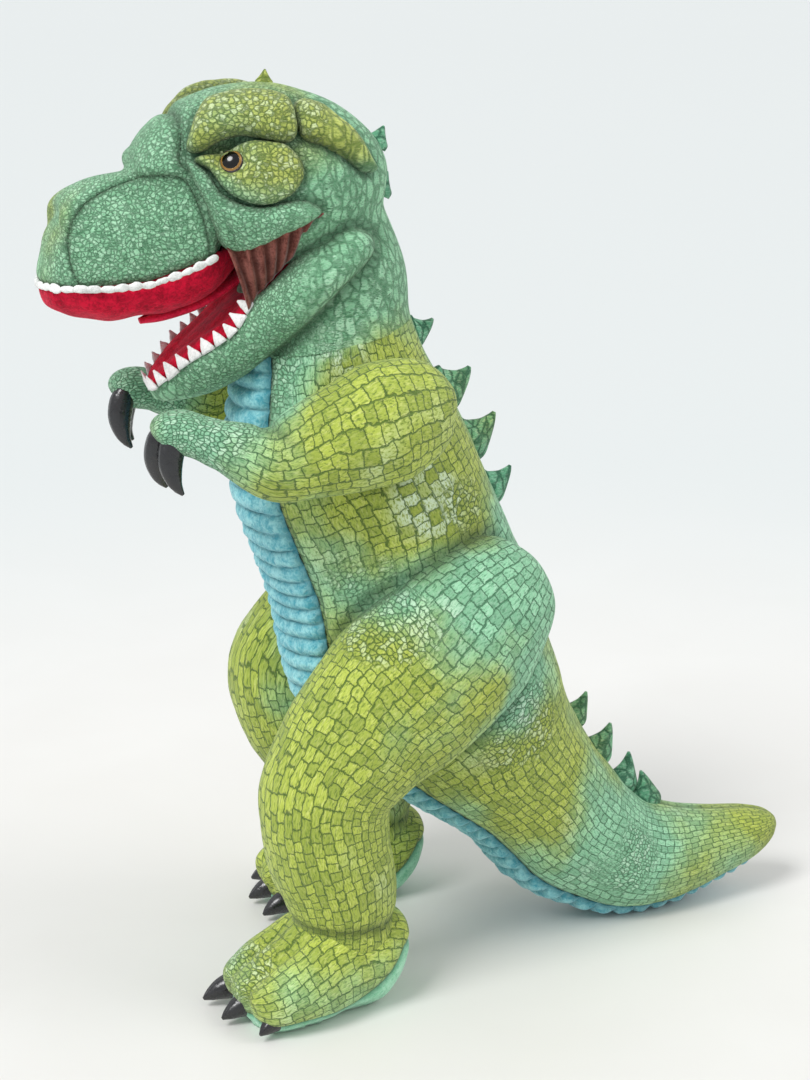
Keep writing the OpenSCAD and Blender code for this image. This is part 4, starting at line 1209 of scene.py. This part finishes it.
pleat_bend = ((0, HINGE.y * MM, (HINGE.z + 14) * MM), (0, HINGE.y * MM, (HINGE.z - 10) * MM))
for side, word in SIDES:
    gusset = bmesh.new()
    bmesh.ops.create_grid(gusset, x_segments=90, y_segments=20, size=0.5)
    uv = gusset.loops.layers.uv.new("cloth")
    for face in gusset.faces:
        for loop in face.loops:
            loop[uv].uv = (loop.vert.co.x * 60, loop.vert.co.y * 20)
    shade_layer(gusset)
    for v in gusset.verts:
        u, w = v.co.x + 0.5, v.co.y + 0.5
        top = edge_on(skull_tree, (-64 + 60 * u, 8 + 21 * u))
        k = 3.55 - 1.85 * u
        low = on_skin(JAW, k, 90 - lining_reach(k), 0.5, 2.2)
        p = low.lerp(top, w)
        pleat = math.sin(u * 7 * 2 * math.pi + 1.2 * w)
        p.x += 2.2 * pleat * (0.4 + 0.6 * math.sin(math.pi * w)) + 3.5 + 3.0 * math.sin(math.pi * w)
        # Painted shade: the hollows of the pleats are darkened through the deep layer.
        v[shade_layer(gusset)] = max(-pleat, 0) * 0.8
        p.x *= side
        v.co = p
    bmesh.ops.recalc_face_normals(gusset, faces=gusset.faces)
    piece(f"pleats_{word}", gusset, None, PLEAT, wall=1.0, nodes=(f"gusset_{word}",),
          bend=("head", "jaw", *pleat_bend))

# ---------------------------------------------------------------- spikes
# Height and length of base of the largest spike.
SPIKE_HEIGHT, SPIKE_BASE = 24, 33


def spike(line, k, height, base, angle=-90.0, sweep=0.42, square=2.0):
    """Stuffed pyramid on the middle seam, its tip swept along the back."""
    foot = on_skin(line, k, angle, 0.0, square)
    tip = on_skin(line, k, angle, height, square)
    ahead = (on_skin(line, min(k + 0.1, len(line) - 1), angle, 0, square)
             - on_skin(line, max(k - 0.1, 0), angle, 0, square)).normalized()
    out = (tip - foot).normalized()
    shares = [(-0.25, 0.0, 0.3, 0.5), (0.06, 0.0, 0.3, 0.52), (0.3, 0.12 * sweep, 0.23, 0.38),
              (0.6, 0.38 * sweep, 0.16, 0.22), (0.85, 0.72 * sweep, 0.1, 0.11), (1.0, sweep, 0.04, 0.04)]
    rows = [tuple(foot + out * height * h - ahead * height * s) + (base * w, base * d)
            for h, s, w, d in shares]
    return stuffed(rows, 32, 30, square=1.7)


for label, node, body, line, entries, angle in (
    ("back_spike", "back_spikes", "torso", TRUNK, ((2.15, 0.7), (2.88, 1), (3.5, 1), (3.92, 0.8)), -90),
    ("rump_spike", "rump_spikes", "torso", TRUNK, ((6.95, 0.7), (7.55, 0.85), (8.5, 0.8), (9.45, 0.8)), -90),
):
    for number, (k, share) in enumerate(entries):
        # The last spike of the rump stands on the bend of the tail.
        over_bend = label == "rump_spike" and number == 3
        bm = spike(line, k, SPIKE_HEIGHT * share, SPIKE_BASE * share, angle)
        piece(f"{label}_{number + 1}", bm, body, SPIKE, nodes=(node,),
              bend=("torso", "tail", *tail_bend) if over_bend else None)
for number, (k, share) in enumerate(((0.5, 0.55), (1.6, 0.5), (3.9, 0.35))):
    bm = spike(SKULL, k, SPIKE_HEIGHT * share, SPIKE_BASE * share, 90, 0.0, 2.2)
    piece(f"crest_spike_{number + 1}", bm, "head", SPIKE if number < 2 else FACE,
          nodes=("head_spikes",))

# ---------------------------------------------------------------- hidden parts
for name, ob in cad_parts.items():
    if ob.hide_render:
        continue
    finish = WASHER if "washer" in name else FILL
    ob.data.materials.clear()
    ob.data.materials.append(finish)

# ---------------------------------------------------------------- floor, light and camera
target = Vector((24, -34, 310)) * MM
back_dir = Vector((0.9142, -0.2970, 0.2756)).normalized()
bpy.ops.mesh.primitive_plane_add(size=120)
floor = bpy.context.object
floor.name = "floor"
material, tree, shader = new_material("pale tabletop", Roughness=0.42, Specular_IOR_Level=0.3)
spot = add(tree, "ShaderNodeTexCoord").outputs["Object"]
reach = add(tree, "ShaderNodeVectorMath", {0: spot}, operation="LENGTH").outputs["Value"]
far = step_between(tree, reach, 0.35, 1.5)
cloud = add(tree, "ShaderNodeTexNoise", {"Vector": spot, "Scale": 5.0, "Detail": 5.0, "Distortion": 0.6})
near_colour = blend_colours(tree, cloud.outputs["Fac"], linear("DCDAD6"), linear("E4E3E0"))
tree.links.new(blend_colours(tree, far, near_colour, linear("D3D7D6")), shader.inputs["Base Color"])
floor.data.materials.append(material)

world = bpy.data.worlds.new("studio")
bpy.context.scene.world = world
world.use_nodes = True
world.node_tree.nodes["Background"].inputs[0].default_value = (0.96, 0.98, 1.0, 1)
world.node_tree.nodes["Background"].inputs[1].default_value = 0.72
bpy.context.scene.view_settings.view_transform = "Standard"


def sun(name, place, power, spread):
    """Soft light from a far direction."""
    light = bpy.data.lights.new(name, "SUN")
    light.energy = power
    light.angle = math.radians(spread)
    ob = bpy.data.objects.new(name, light)
    bpy.context.collection.objects.link(ob)
    ob.rotation_euler = (-Vector(place)).to_track_quat("-Z", "Y").to_euler()
    return ob


sun("key", (0.5, -0.85, 1.15), 2.1, 24)
sun("rim", (0.5, 0.9, 0.9), 0.6, 35)

camera = bpy.data.cameras.new("camera")
camera.lens = 77.3
camera.sensor_width = 36
camera.sensor_fit = "VERTICAL"
camera.sensor_height = 36
view = bpy.data.objects.new("camera", camera)
bpy.context.collection.objects.link(view)
view.location = target + back_dir * 1.6
view.rotation_euler = (-back_dir).to_track_quat("-Z", "Y").to_euler()
bpy.context.scene.camera = view
